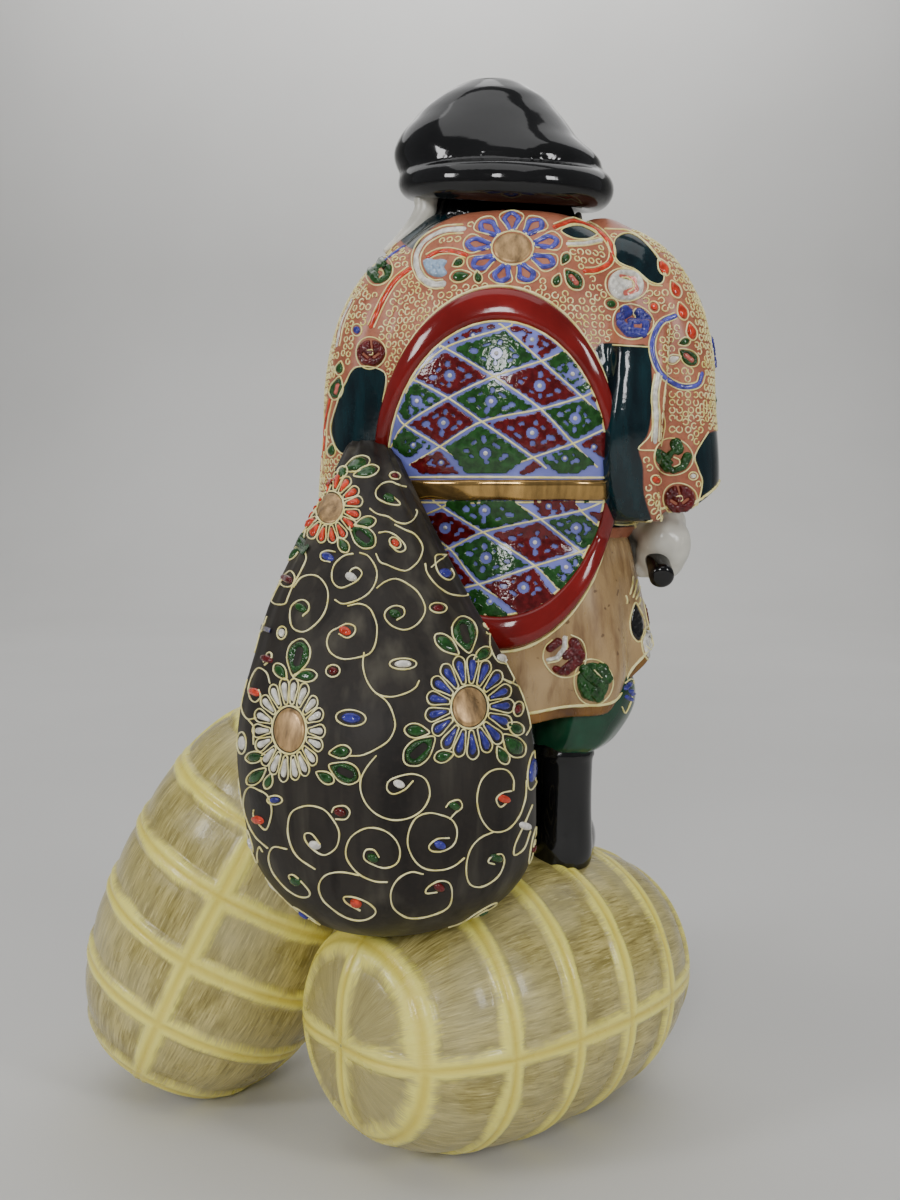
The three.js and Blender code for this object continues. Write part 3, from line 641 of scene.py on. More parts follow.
def sleeve_rings(side, lift, forward, reach, hem_slant):
    """Rings of a sleeve from the shoulder to the hem, then up inside its opening."""
    shoulder = BODY_X + side * 27.54
    elbow = BODY_X + side * 51 * reach
    stations = []
    for t, out, w, d in SLEEVE_STOPS:
        at = (
            shoulder + (elbow - shoulder) * out,
            BODY_Y + 1 + forward * t,
            NECK_Z - 9 + lift - t * SLEEVE_LENGTH,
        )
        axis = (side * math.sin(math.radians(hem_slant)) * t, 0, -1)
        stations.append((at, (w * 17.5, d * 27), axis, (2.2,)))
    rings = loft(stations, 70, 96)
    if side > 0:
        rings[..., 2] -= hem_droop(rings)
    hem = rings[-1]
    axis = unit(np.array(stations[-1][2], float))
    centre = hem.mean(axis=0)
    inner = [centre + (hem - centre) * k - axis * up for k, up in ((0.84, 0), (0.82, 9), (0.5, 12))]
    return np.concatenate([rings, inner]), hem


# Where the right sleeve's inner edge meets the panel, in the photograph's pixels
SLEEVE_EDGE = [(614, 326), (611, 345), (609, 375), (606, 405), (603, 430), (602, 465), (603, 500), (610, 521)]
SLEEVE_EDGE_DEPTH = -23.0


def sleeve_edge():
    """Points of that edge, on an upright plane at the panel's depth."""
    found = []
    for px, py in SLEEVE_EDGE:
        d = ray(px, py)
        found.append(EYE + d * (SLEEVE_EDGE_DEPTH - EYE[1]) / d[1])
    return np.array(found)


def sleeve_fold(back):
    """The fold of the right sleeve that covers the ring's side."""
    stations = []
    for x, _, z in catmull(sleeve_edge(), 12)[::-1]:
        deep = float(back.depth(x, z)) - RING_RELIEF - 2.6
        stations.append(((x + 7.8, deep + 8.0, z), (8.4, 8.0), (0, 0, 1), (4.6,)))
    return closed_rings(loft(stations, 60, 48))


# The left shoulder's ridge under the white collar, in the photograph's pixels
SHOULDER_RIDGE = [(455, 224), (436, 231), (419, 245), (404, 257)]


def make_robe(look, back):
    rings = loft(upright((BODY_X, BODY_Y + 2, ROBE_Z), (102, 88, 118.5), ROBE_SHARES), 90, 160)
    body = closed_rings(rings)
    right, hem_right = sleeve_rings(1, 8, -1, 0.98, 24)
    left, hem_left = sleeve_rings(-1, 2, 8, 0.92, 6)
    ridge = [on_upright(px, py, -3) for px, py in SHOULDER_RIDGE]
    ridge = [capsule(p, q, 5.2, 5.2) for p, q in zip(ridge, ridge[1:])]
    verts, faces = fused([body, closed_rings(right), closed_rings(left), sleeve_fold(back)] + ridge, 1.2, 10)
    # The back panel lies in its own bed, so the sleeves don't swell through it
    u = (verts[:, 0] - BACK_X) / (RING_HALF[0] + 0.4)
    w = (verts[:, 2] - BACK_Z) / (RING_HALF[1] + 0.4)
    edge = sleeve_edge()[::-1]
    fold = (verts[:, 0] > np.interp(verts[:, 2], edge[:, 2], edge[:, 0]) - 1.2) & (verts[:, 2] < edge[-1, 2] + 3)
    bed = (u**2 + w**2 < 1) & (verts[:, 1] < 5) & ~fold
    floor = back.depth(verts[bed, 0], verts[bed, 2])
    verts[bed, 1] = np.maximum(verts[bed, 1], floor + 0.2)
    return verts, faces, (hem_right, hem_left)


class Back:
    """The smooth surface of the figure's back, as depth over a grid of x and z."""

    STEP, X0, X1, Z0, Z1 = 1.0, -48, 42, 148, 274

    def __init__(self, skins):
        xs = np.arange(self.X0, self.X1 + self.STEP, self.STEP)
        zs = np.arange(self.Z0, self.Z1 + self.STEP, self.STEP)
        depth = np.zeros((len(xs), len(zs)))
        for i, x in enumerate(xs):
            for j, z in enumerate(zs):
                hits = [s.cast((x, -200, z), (0, 1, 0)) for s in skins]
                depth[i, j] = min([h[0][1] for h in hits if h] or [-10])
        kernel = np.exp(-(np.arange(-6, 7) ** 2) / (2 * 2.2**2))
        kernel /= kernel.sum()
        for axis in (0, 1):
            padded = np.pad(depth, [(6, 6) if a == axis else (0, 0) for a in (0, 1)], mode="edge")
            depth = np.apply_along_axis(lambda row: np.convolve(row, kernel, "valid"), axis, padded)
        self.grid = depth

    def depth(self, x, z):
        u = np.clip((np.asarray(x) - self.X0) / self.STEP, 0, self.grid.shape[0] - 1.001)
        w = np.clip((np.asarray(z) - self.Z0) / self.STEP, 0, self.grid.shape[1] - 1.001)
        i, j = np.floor(u).astype(int), np.floor(w).astype(int)
        a, b = u - i, w - j
        g = self.grid
        return (
            g[i, j] * (1 - a) * (1 - b)
            + g[i + 1, j] * a * (1 - b)
            + g[i, j + 1] * (1 - a) * b
            + g[i + 1, j + 1] * a * b
        )

    def points(self, x, z, lift):
        """Points over the back, lifted along its normal."""
        x, z = np.asarray(x, float), np.asarray(z, float)
        h = 1.5
        dx = (self.depth(x + h, z) - self.depth(x - h, z)) / (2 * h)
        dz = (self.depth(x, z + h) - self.depth(x, z - h)) / (2 * h)
        normal = unit(np.stack([dx, -np.ones_like(dx), dz], axis=-1))
        base = np.stack([x, self.depth(x, z), z], axis=-1)
        return base + normal * np.asarray(lift)[..., None]


def make_ring(back, look):
    """The red ring: a rounded moulding between two upright ovals."""
    profile = [
        (-0.02, -1.0),
        (0.0, 0.5),
        (0.03, 1.5),
        (0.09, 2.4),
        (0.2, 2.95),
        (0.35, RING_RELIEF),
        (0.55, RING_RELIEF),
        (0.75, 3.05),
        (0.9, 2.6),
        (0.97, 1.9),
        (1.0, 0.9),
        (1.0, -1.0),
    ]
    q = catmull(profile, 40)
    angle = 2 * np.pi * np.arange(360) / 360
    half = RING_HALF[None, :] + q[:, :1] * (FIELD_HALF - RING_HALF)[None, :]
    x = BACK_X + half[:, :1] * np.cos(angle)
    z = BACK_Z + half[:, 1:] * np.sin(angle)
    rows = back.points(x, z, q[:, 1:2] * np.ones_like(x))
    n, m = x.shape
    verts = rows.reshape(-1, 3)
    faces = [f[::-1] for f in grid_faces(n, m)]
    under = [(n - 1) * m + np.arange(m), np.arange(m)]
    faces += [[under[0][j], under[0][(j + 1) % m], under[1][(j + 1) % m], under[1][j]][::-1] for j in range(m)]
    faces = [[int(i) for i in f] for f in faces]
    return piece("ring_moulding", verts, faces, look, "red_glaze", ["back_ring"])


def line_on_back(enamel, back, x, z, lift, width=0.72, closed=False):
    """A thread laid on the back panel through points given by x and z."""
    path = back.points(x, z, np.full(len(x), lift))
    normals = unit(back.points(x, z, np.full(len(x), lift + 1.0)) - path)
    enamel.tube(path, normals, width, 0.45, closed=closed)


def outline_panel(kit, back):
    """Cream threads round the ring, round the field and along the belt."""
    angle = 2 * np.pi * np.arange(560) / 560
    for half, lift, width in ((RING_HALF + 0.7, 0.2, 0.95), (FIELD_HALF - 0.2, FIELD_RELIEF, 0.72)):
        x, z = BACK_X + half[0] * np.cos(angle), BACK_Z + half[1] * np.sin(angle)
        line_on_back(kit["cream"], back, x, z, lift, width, closed=True)
    x = np.linspace(BACK_X - 32.6, BACK_X + 32.6, 150)
    for side, lean in ((-3.7, 0.15), (3.75, -0.1)):
        line_on_back(kit["cream"], back, x, BELT_Z + side + lean * np.sin(x * 0.09), FIELD_RELIEF)


def oval_plate(back, half, lift, rows=70, sides=240):
    """A domed plate over an upright oval of the back, as rings from its rim to its middle."""
    angle = 2 * np.pi * np.arange(sides) / sides
    share = np.concatenate([[1.0], np.linspace(1, 0.02, rows)])
    rise = np.concatenate([[-1.5], np.ones(rows)]) * lift
    rise[0] = -1.5
    x = BACK_X + half[0] * share[:, None] * np.cos(angle)
    z = BACK_Z + half[1] * share[:, None] * np.sin(angle)
    top = back.points(x, z, rise[:, None] * np.ones_like(x))
    inward = back.points(x[1:][::-1], z[1:][::-1], -1.5 * np.ones_like(x[1:]))
    return np.concatenate([inward, top])


def make_field(back, look):
    verts, faces = closed_rings(oval_plate(back, FIELD_HALF + 0.4, FIELD_RELIEF))
    faces = [f[::-1] for f in faces]
    obj = piece("field_plate", verts, faces, look, "lattice_enamel", ["back_field_upper", "back_field_lower"])
    return Skin(verts, faces), obj


def make_belt(back, look):
    """The gilded belt over the panel, from one side of the ring to the other."""
    profile = [(-3.1, -1), (-3.0, 1.6), (-2.3, 2.6), (0, BELT_RELIEF), (2.3, 2.6), (3.0, 1.6), (3.1, -1)]
    q = catmull(profile, 18)
    x = np.linspace(BACK_X - 34.6, BACK_X + 34.6, 110)
    z = BELT_Z + q[:, :1] + 0 * x
    lift = q[:, 1:] + 0.25 * np.sin(x * 0.35)
    rows = back.points(np.ones_like(z) * x, z, lift)
    verts, faces = closed_rings(rows.transpose(1, 0, 2))
    return piece("belt_band", verts, faces, look, "gold_lustre", ["belt_back"])


def strip(place, line, width, height):
    """A raised strip over a surface, along a line given in the place's own units."""
    profile = [(-1, -0.6), (-0.98, 0.55), (-0.86, 0.9), (-0.4, 1.0), (0.4, 1.0), (0.86, 0.9), (0.98, 0.55), (1, -0.6)]
    q = catmull(profile, 20)
    path = catmull(line, 90)
    side = unit(np.gradient(path, axis=0))[:, ::-1] * (1, -1)
    half = np.interp(np.linspace(0, 1, len(path)), np.linspace(0, 1, len(width)), width) / 2
    flat = path[:, None] + side[:, None] * (q[None, :, :1] * half[:, None, None])
    found, normals = place.at(flat.reshape(-1, 2))
    rise = np.tile(np.where(q[:, 1] > 0, q[:, 1] * height, q[:, 1]), len(path))
    verts, faces = closed_rings((found + normals * rise[:, None]).reshape(len(path), len(q), 3))
    return verts, faces if place.HAND < 0 else [f[::-1] for f in faces]


COLLAR_LINES = [
    [(BODY_X - 6, 243), (BODY_X + 3, 255), (BODY_X + 14, 272), (BODY_X + 27, 291)],
    [(BODY_X + 6, 243), (BODY_X - 3, 255), (BODY_X - 14, 272), (BODY_X - 27, 291)],
]


def make_collar(kit, place, look):
    """Two crossed strips of the under-robe, edged in cream and dotted with gilt."""
    parts = [strip(place, line, (9, 8.4, 8.4, 8.4), height) for line, height in zip(COLLAR_LINES, (1.4, 1.9))]
    piece("collar_bands", *joined(parts), look, "white_glaze", ["collar"])
    for line, height in zip(COLLAR_LINES, (1.6, 2.1)):
        path = catmull(line, 24)
        side = unit(np.gradient(path, axis=0))[:, ::-1] * (1, -1)
        for way in (-3.3, 3.3):
            kit["cream"].thread(place, path + side * way, 0.7, height + 0.4)
        for k in range(2, 23, 3):
            kit["gilt"].bead(place, path[k], 0.9, height + 0.5)


# The white collar on the left shoulder: pixel, half width in millimetres
COLLAR_SEEN = [(427, 192, 4.0), (426, 202, 3.9), (425, 213, 3.8), (415, 226, 2.9), (400, 240, 1.9), (385, 252.5, 0.9)]


def make_white_collar(look):
    """The under-robe's collar where it shows above the left shoulder."""
    stations = []
    for k, (px, py, half) in enumerate(COLLAR_SEEN):
        before, after = COLLAR_SEEN[max(k - 1, 0)], COLLAR_SEEN[min(k + 1, len(COLLAR_SEEN) - 1)]
        along = unit(on_upright(*before[:2], -2) - on_upright(*after[:2], -2))
        stations.append((on_upright(px, py, -2).tolist(), (half, 2.0 + 0.5 * half), along.tolist(), (2.6,)))
    piece("collar_white", *closed_rings(loft(stations[::-1], 50, 40)), look, "white_glaze")


def make_front_belt(kit, place, look):
    line = [(BODY_X - 41, BELT_Z), (BODY_X - 20, BELT_Z), (BODY_X + 20, BELT_Z), (BODY_X + 41, BELT_Z)]
    piece("belt_band_front", *strip(place, line, (6, 6), 2.4), look, "gold_lustre", ["belt_front"])
    for side in (-3.5, 3.5):
        kit["cream"].thread(place, [(x, z + side) for x, z in line], 0.72)


# ---- Sack
SACK_SIZE = (87.0, 78.0, 150.0)
SACK_SHARES = [
    [0, 0.12, 0.12],
    [0.03, 0.5, 0.5, 0.02],
    [0.08, 0.77, 0.77, 0.06],
    [0.16, 0.95, 0.95, 0.05],
    [0.28, 1, 1, 0.02],
    [0.37, 1, 1],
    [0.46, 0.95, 0.95, -0.015, 0.02],
    [0.555, 0.825, 0.84, -0.05, 0.08],
    [0.655, 0.675, 0.69, -0.1, 0.18],
    [0.775, 0.47, 0.5, -0.115, 0.34],
    [0.88, 0.29, 0.3, -0.125, 0.56],
    [0.95, 0.18, 0.18, -0.14, 0.84],
    [0.98, 0.12, 0.12, -0.16, 1.15],
]


def make_sack(look):
    rows, sides = 150, 280
    rings = loft(upright(SACK_AT, SACK_SIZE, SACK_SHARES), rows, sides)
    t = np.linspace(0, 1, rows)
    angle = 2 * np.pi * np.arange(sides) / sides
    neck = np.clip((t - 0.35) / 0.5, 0, 1) ** 1.2
    pleat = np.cos(13 * angle + 1.5 * np.sin(2 * angle + 0.4)) + 0.6 * np.cos(8 * angle + 1)
    soft = 0.35 * np.sin(3 * angle + 4 * t[:, None] + 1) * np.sin(np.pi * t)[:, None]
    move = 0.55 * neck[:, None] * pleat + soft - 0.3
    centre = rings.mean(axis=1, keepdims=True)
    outward = unit(rings - centre)
    rings = rings + outward * move[..., None]
    verts, faces = closed_rings(rings)
    obj = piece("sack_body", verts, faces, look, "charcoal_glaze", ["sack"])
    return Skin(verts, faces), obj


def make_mouth(look):
    """The gathered mouth of the sack above the left fist, a frilled cone."""
    stops = [[-0.2, 0.45], [0.1, 0.5], [0.45, 0.55], [0.75, 0.85], [1, 1.15], [1.08, 1.05]]
    stations = []
    for t, w in stops:
        at = (FIST_LEFT[0], FIST_LEFT[1] + 14 * t, FIST_LEFT[2] + 20 * t)
        stations.append((at, (w * 12, w * 9.6), (0, 0.55, 0.83), (2,)))
    rings = loft(stations, 46, 144)
    angle = 2 * np.pi * np.arange(144) / 144
    grow = np.linspace(0.05, 0.16, 46)[:, None]
    centre = rings.mean(axis=1, keepdims=True)
    frill = 1 - grow * (0.5 + 0.5 * np.cos(9 * angle + 0.8 * np.sin(3 * angle)))
    rings = centre + (rings - centre) * frill[..., None]
    lip = rings[-1]
    middle = lip.mean(axis=0)
    down = unit(np.array([0, 0.55, 0.83]))
    inner = [middle + (lip - middle) * k - down * d for k, d in ((0.8, 1), (0.45, 6), (0.1, 8))]
    verts, faces = closed_rings(np.concatenate([rings, inner]))
    return piece("sack_frill", verts, faces, look, "charcoal_glaze", ["sack_mouth"])


# ---- Hands, head and cap
def capsule(a, b, ra, rb, sides=24):
    """A round-ended finger between two points."""
    a, b = np.asarray(a, float), np.asarray(b, float)
    axis = unit(b - a)
    helper = np.array([0, 0, 1.0]) if abs(axis[2]) < 0.8 else np.array([1.0, 0, 0])
    across = unit(np.cross(helper, axis))
    deep = np.cross(axis, across)
    angle = 2 * np.pi * np.arange(sides) / sides
    wheel = np.cos(angle)[:, None] * across + np.sin(angle)[:, None] * deep
    bend = np.radians(np.linspace(6, 90, 6))
    rings = [a - axis * ra * np.cos(t) + wheel * ra * np.sin(t) for t in bend]
    rings += [b + axis * rb * np.cos(t) + wheel * rb * np.sin(t) for t in bend[::-1]]
    return closed_rings(rings)


def make_right_hand(look):
    """A fist round the mallet's handle, seen from its back, with the wrist in the sleeve."""
    c = FIST_RIGHT
    grip = HANDLE_END + 19 * HANDLE_AXIS
    down = np.array([0, math.sin(HANDLE_TILT), -math.cos(HANDLE_TILT)])
    parts = [
        ellipsoid(c + (0.4, -1.2, 3.4), (7.8, 10.4, 9.6)),
        ellipsoid(c + (-1.8, -2.6, 5.0), (7.6, 9.2, 8.2)),
        ellipsoid(c + (-2.6, 2, 10), (9.8, 9, 8)),
        ellipsoid(c + (-1.2, 0.5, 0.2), (8.4, 9.6, 9.2)),
    ]
    for k in range(3):
        at = grip + HANDLE_AXIS * (-1.6 + 5.0 * k)
        knuckle = at + np.array([5.4, 0, 0]) + down * 4.2
        parts.append(capsule(at + np.array([4.8, 0, 5.0]), knuckle, 3.3, 3.4))
        parts.append(capsule(knuckle, at + np.array([-3.8, 0, 0]) + down * 6.0, 3.3, 3.0))
    thumb = grip + HANDLE_AXIS * 9
    parts.append(capsule(c + (0, 5, 6), thumb + (-5.2, 0, 3), 3.8, 3.3))
    parts.append(capsule(thumb + (-5.2, 0, 3), thumb + (-5.4, 1, -4), 3.3, 2.8))
    verts, faces = fused(parts, 0.7, 9)
    return piece("fist_right", verts, faces, look, "white_glaze", ["hand_right"])


def make_left_hand(look):
    """A fist that closes round the neck of the sack."""
    c = FIST_LEFT
    grip = unit(np.array([0, 0.57, 0.82]))
    side = unit(np.cross(grip, (1.0, 0, 0)))
    parts = [ellipsoid(c + (0, -1.5, 0), (9, 10.5, 10.5)), ellipsoid(c + (2, -9, 4), (7.5, 8, 8))]
    for k in range(4):
        at = c + grip * (-7.2 + 4.9 * k)
        a = at + np.array([8.4, 0, 0]) - side * 3
        b = at + np.array([6.5, 0, 0]) + side * -8.8
        d = at + np.array([-6.8, 0, 0]) + side * -9.2
        parts.append(capsule(a, b, 2.9, 2.9))
        parts.append(capsule(b, d, 2.9, 2.6))
    parts.append(capsule(c + (-7.5, 0, 2), c + (-7.5, 4, 0) + grip * 9, 3.4, 3.0))
    verts, faces = fused(parts, 0.7, 5)
    return piece("fist_left", verts, faces, look, "white_glaze", ["hand_left"])


def turned_rings(at, axis, profile, sides=48):
    """A turned form: (distance along the axis, radius) stops about a line."""
    axis = unit(np.asarray(axis, float))
    helper = np.array([0, 0, 1.0]) if abs(axis[2]) < 0.8 else np.array([1.0, 0, 0])
    across = unit(np.cross(helper, axis))
    deep = np.cross(axis, across)
    angle = 2 * np.pi * np.arange(sides) / sides
    wheel = np.cos(angle)[:, None] * across + np.sin(angle)[:, None] * deep
    return np.array([at + axis * s + wheel * max(r, 0.05) for s, r in profile])


def make_mallet(black, gold, red):
    length = HANDLE_LENGTH
    stops = [(0.0, 0.4), (0.12, 2.4), (0.5, 3.4), (1.4, 3.95), (3, 4.0), (8, 3.85), (40, 3.8)]
    stops += [(length - 12, 3.9), (length, 4.0)]
    rings = turned_rings(HANDLE_END, HANDLE_AXIS, stops, 40)
    piece("handle_rod", *closed_rings(rings), black, "black_glaze", ["mallet_handle"])
    half, r = MALLET_HALF - 0.8, MALLET_RADIUS - 0.7
    body = [(-half, 0.1), (-half, 8), (-half + 0.1, 12), (-half + 0.6, 12.9), (-half + 2, 13.6)]
    body += [(s, r * (0.84 + 0.16 * math.cos(s / half * 1.3))) for s in np.linspace(-17, 17, 30)]
    body += [(half - 2, 13.6), (half - 0.6, 12.9), (half - 0.1, 12), (half, 8), (half, 0.1)]
    rings = turned_rings(MALLET_AT, (1, 0, 0), body, 64)
    piece("mallet_barrel", *closed_rings(rings), red, "red_glaze", ["mallet_head"])
    for k, (s, w) in enumerate([(-15.5, 1.6), (15.5, 1.6), (-5.5, 1.0), (5.5, 1.0)]):
        rr = r * (0.84 + 0.16 * math.cos(s / half * 1.3))
        band = [(s - w, rr - 1), (s - w, rr + 0.35), (s - w * 0.7, rr + 0.6), (s, rr + 0.7)]
        band += [(s + w * 0.7, rr + 0.6), (s + w, rr + 0.35), (s + w, rr - 1)]
        ring = turned_rings(MALLET_AT, (1, 0, 0), band, 64)
        piece(f"mallet_hoop_{k}", *closed_rings(ring), gold, "gold_lustre")
    for side in (-1, 1):
        boss = [(0, 5.4), (0.4, 5.2), (0.9, 3.6), (1.1, 0.1)]
        at = MALLET_AT + np.array([side * (half - 0.3), 0, 0])
        ring = turned_rings(at, (side, 0, 0), [(-0.6, 5.4)] + boss, 40)
        name = "mallet_boss_right" if side > 0 else "mallet_boss_left"
        piece(name, *closed_rings(ring), gold, "gold_lustre")


def head_skin():
    """A calm, round face: brow, cheeks, nose, lips and chin raised from an egg."""
    verts, faces = ellipsoid(HEAD_AT, HEAD_HALF, 150, 220)
    d = (verts - HEAD_AT) / HEAD_HALF
    front = np.clip(d[:, 1], 0, 1) ** 0.5
    x, z = verts[:, 0] - HEAD_AT[0], verts[:, 2] - HEAD_AT[2]

    def swell(cx, cz, sx, sz, height):
        return height * front * np.exp(-(((np.abs(x) - cx) / sx) ** 2) - ((z - cz) / sz) ** 2)

    lift = (
        swell(0, -1, 2.6, 5.5, 4.6)
        + swell(0, -4.2, 3.6, 2.2, 1.6)
        + swell(3.2, -4.8, 1.7, 1.7, 1.3)
        + swell(12.5, -6, 6.5, 6.5, 1.6)
        + swell(9.5, 8.5, 6.5, 2.6, 1.1)
        - swell(9.5, 3.6, 5.5, 2.4, 1.1)
        + swell(9.5, 3.0, 4.6, 1.7, 0.9)
        + swell(0, -11.2, 6.0, 1.5, 1.1)
        + swell(0, -14.4, 4.6, 1.7, 1.2)
        - swell(0, -12.8, 6.5, 0.8, 0.5)
        + swell(0, -22.5, 6.0, 4.5, 2.2)
    )
    return verts + unit(d) * lift[:, None], faces


# Half of the face's drawn lines, as x and z about the middle of the head, with a width
FACE_LINES = [
    ([(3.6, 2.6), (6.4, 4.2), (9.5, 4.7), (12.6, 4.1), (15.2, 2.3)], 0.75),
    ([(4.6, 1.9), (7.4, 2.7), (9.6, 2.9), (12.0, 2.5), (14.2, 1.5)], 0.4),
    ([(3.8, 8.6), (6.6, 10.4), (10.2, 11.2), (13.6, 10.2), (16.4, 7.8)], 1.5),
    ([(15.6, 2.6), (17.6, 1.2)], 0.35),
    ([(5.9, -5.8), (7.4, -8.2), (7.6, -10.4)], 0.35),
]


def draw_face(kit, place):
    """Calm, smiling brows, eyes and lips, and a fine painted beard."""
    cx, cz = HEAD_AT[0], HEAD_AT[2]
    for line, width in FACE_LINES:
        for side in (-1, 1):
            kit["ink"].thread(place, [(cx + side * x, cz + z) for x, z in line], width, 0.3)
    kit["darkred"].thread(place, [(cx + x, cz + z) for x, z in ((-5.4, -11.4), (-2.4, -12.5), (2.4, -12.5), (5.4, -11.4))], 0.9, 0.4)
    kit["orange"].thread(place, [(cx + x, cz + z) for x, z in ((-3, -14), (0, -14.6), (3, -14))], 1.3, 0.35)
    for k in range(-8, 9):
        x, z = 1.15 * k, -18.2 + 0.035 * k * k
        tip = (cx + x * 1.15 + 0.4 * math.sin(k * 2.1), cz + z - 6.2 + 0.03 * k * k)
        kit["ink"].thread(place, [(cx + x, cz + z), (cx + x * 1.1, cz + z - 3), tip], 0.34, 0.25)


def make_ear(name, side, look, node):
    at = HEAD_AT + np.array([side * (HEAD_HALF[0] - 1.6), -3, 2])
    parts = [
        ellipsoid(at + (0, 0, 2), (2.4, 5.6, 10.5), 24, 32),
        ellipsoid(at + (side * 0.5, 0.8, -9.5), (2.7, 3.7, 5.5), 24, 32),
    ]
    rim = [(0.5, 4.4, 3), (0.9, 4.2, 9), (0.8, 0, 12.2), (0.8, -4.4, 9), (0.8, -5.4, 3), (0.6, -4, -4)]
    path = catmull([at + np.array([side * a, b, c]) for a, b, c in rim], 12)
    parts += [capsule(path[k], path[k + 1], 1.3, 1.3, 12) for k in range(11)]
    verts, faces = fused(parts, 0.5, 4)
    return piece(name, verts, faces, look, "white_glaze", [node])


def make_hair(look):
    """Short hair combed down below the cap at the back of the head."""
    angle = np.radians(np.linspace(196, 344, 140))
    rows = 26
    t = np.linspace(0, 1, rows)[:, None]
    strand = 0.35 * np.cos(angle * 46) + 0.2 * np.cos(angle * 91 + 1)
    edge = 288.5 + 1.2 * np.cos(angle * 9) - 2.0 * np.sin(angle)
    z = edge + (303 - edge) * t
    share = np.sqrt(np.maximum(1 - ((z - HEAD_AT[2]) / (HEAD_HALF[2] + 1.2)) ** 2, 0.05))
    thick = np.sin(np.clip(t * 4, 0, 1) * np.pi / 2)
    out = (1.2 + strand) * thick
    shell = []
    for lift in (out, np.full_like(out, -2.2)):
        x = HEAD_AT[0] + (HEAD_HALF[0] * share + lift) * np.cos(angle)
        y = HEAD_AT[1] + (HEAD_HALF[1] * share + lift) * np.sin(angle)
        shell.append(np.stack([x, y, z + 0 * x], axis=-1))
    loop = np.concatenate([shell[0], shell[1][::-1]])
    verts, faces = closed_rings(loop.transpose(1, 0, 2))
    return piece("hair_nape", verts, faces, look, "black_glaze", ["hair"])


# The cap's outline in the photograph: row, left and right edge
CROWN_SEEN = [
    (186, 414, 594), (176, 402, 601), (164, 395.6, 601), (153.8, 393.5, 592.5), (143.3, 396.3, 581), (133, 401.9, 573.8),
    (122.5, 411, 566.5), (112, 419.6, 558), (101.7, 432, 548.8), (91.3, 444.6, 537.3), (80.8, 460.2, 523.8),
    (76, 471, 510), (74, 482, 499),
]
# How deep the crown is at those rows, so that it slopes towards the lamps' side
CROWN_DEPTH = [24, 27.4, 26.6, 25.2, 23.6, 21.8, 19.8, 17.5, 15, 11.8, 7.8, 4.4, 2]
CROWN_FRONT = [24, 28.5, 29.5, 29.5, 29, 28, 26.4, 24.2, 21.2, 17.2, 11.6, 6.6, 2.6]
BAND_AT, BAND_REACH = np.array([-1.2, 6.0, 304.6]), (29.4, 27.6)
BAND_BACK_TILT, BAND_SIDE_TILT = math.radians(9), math.radians(2.4)


def on_upright(px, py, depth):
    """The point of a pixel's ray on the upright plane at that depth."""
    d = ray(px, py)
    return EYE + d * (depth - EYE[1]) / d[1]


def make_cap(look):
    """A soft cap: a thick roll round the brow and a crown that leans over it."""
    stations = []
    for (row, left, right), depth, front in zip(CROWN_SEEN, CROWN_DEPTH, CROWN_FRONT):
        a, b = on_upright(left, row, CAP_AT[1]), on_upright(right, row, CAP_AT[1])
        middle = (a + b) / 2 + (0, (front - depth) / 2, 0)
        middle[2] = min(middle[2], 332 + (middle[2] - 332) * 0.78)
        stations.append((middle.tolist(), ((b[0] - a[0]) / 2, (front + depth) / 2), (0, 0, 1), (2.05,)))
    crown = loft(stations, 80, 120)
    angle = 2 * np.pi * np.arange(110) / 110
    section = 2 * np.pi * np.arange(28) / 28
    swell = 1 + 0.03 * np.sin(3 * angle + 0.4) + 0.09 * np.cos(angle)
    reach = np.cos(section)[None, :] * (BAND_RADIUS * swell)[:, None]
    x = (BAND_REACH[0] + reach) * np.cos(angle)[:, None]
    y = (BAND_REACH[1] + reach) * np.sin(angle)[:, None]
    z = np.sin(section)[None, :] * (BAND_RADIUS * swell)[:, None]
    c, s = math.cos(BAND_BACK_TILT), math.sin(BAND_BACK_TILT)
    y, z = y * c - z * s, y * s + z * c
    c, s = math.cos(BAND_SIDE_TILT), math.sin(BAND_SIDE_TILT)
    roll = np.stack([x * c + z * s, y, z * c - x * s], axis=-1) + BAND_AT
    n, m = 110, 28
    faces = grid_faces(n, m) + [[(n - 1) * m + j, (n - 1) * m + (j + 1) % m, (j + 1) % m, j] for j in range(m)]
    verts, faces = fused([closed_rings(crown), (roll.reshape(-1, 3), faces)], 0.8, 8)
    return piece("cap_cloth", verts, faces, look, "black_glaze", ["cap_band", "cap_crown"])


# ---- Looks
def glaze(name, colour, roughness=0.12, speck=0.06, contrast=0.72, **settings):
    """A poured glaze: slight cloudiness, orange-peel ripple and a wet shine."""
    look = Look(name, colour, roughness, **settings)
    cloud = look.noise(60, 3.0)
    deep = tuple(c * contrast for c in colour[:3]) + (1.0,)
    light = tuple(min(c * 1.25 + 0.003, 1) for c in colour[:3]) + (1.0,)
    tone = look.mix(look.span(cloud, 0.3, 0.7), deep, light)
    dots = look.span(look.noise(900, 1.0), 0.70, 0.78, 0, speck * 4)
    look.set("Base Color", look.mix(dots, tone, deep))
    look.set("Roughness", look.span(look.noise(140, 2.0), 0.3, 0.7, roughness * 0.8, roughness * 1.4))
    look.bump(look.noise(210, 2.0), 0.12, 0.35)
    return look.mat


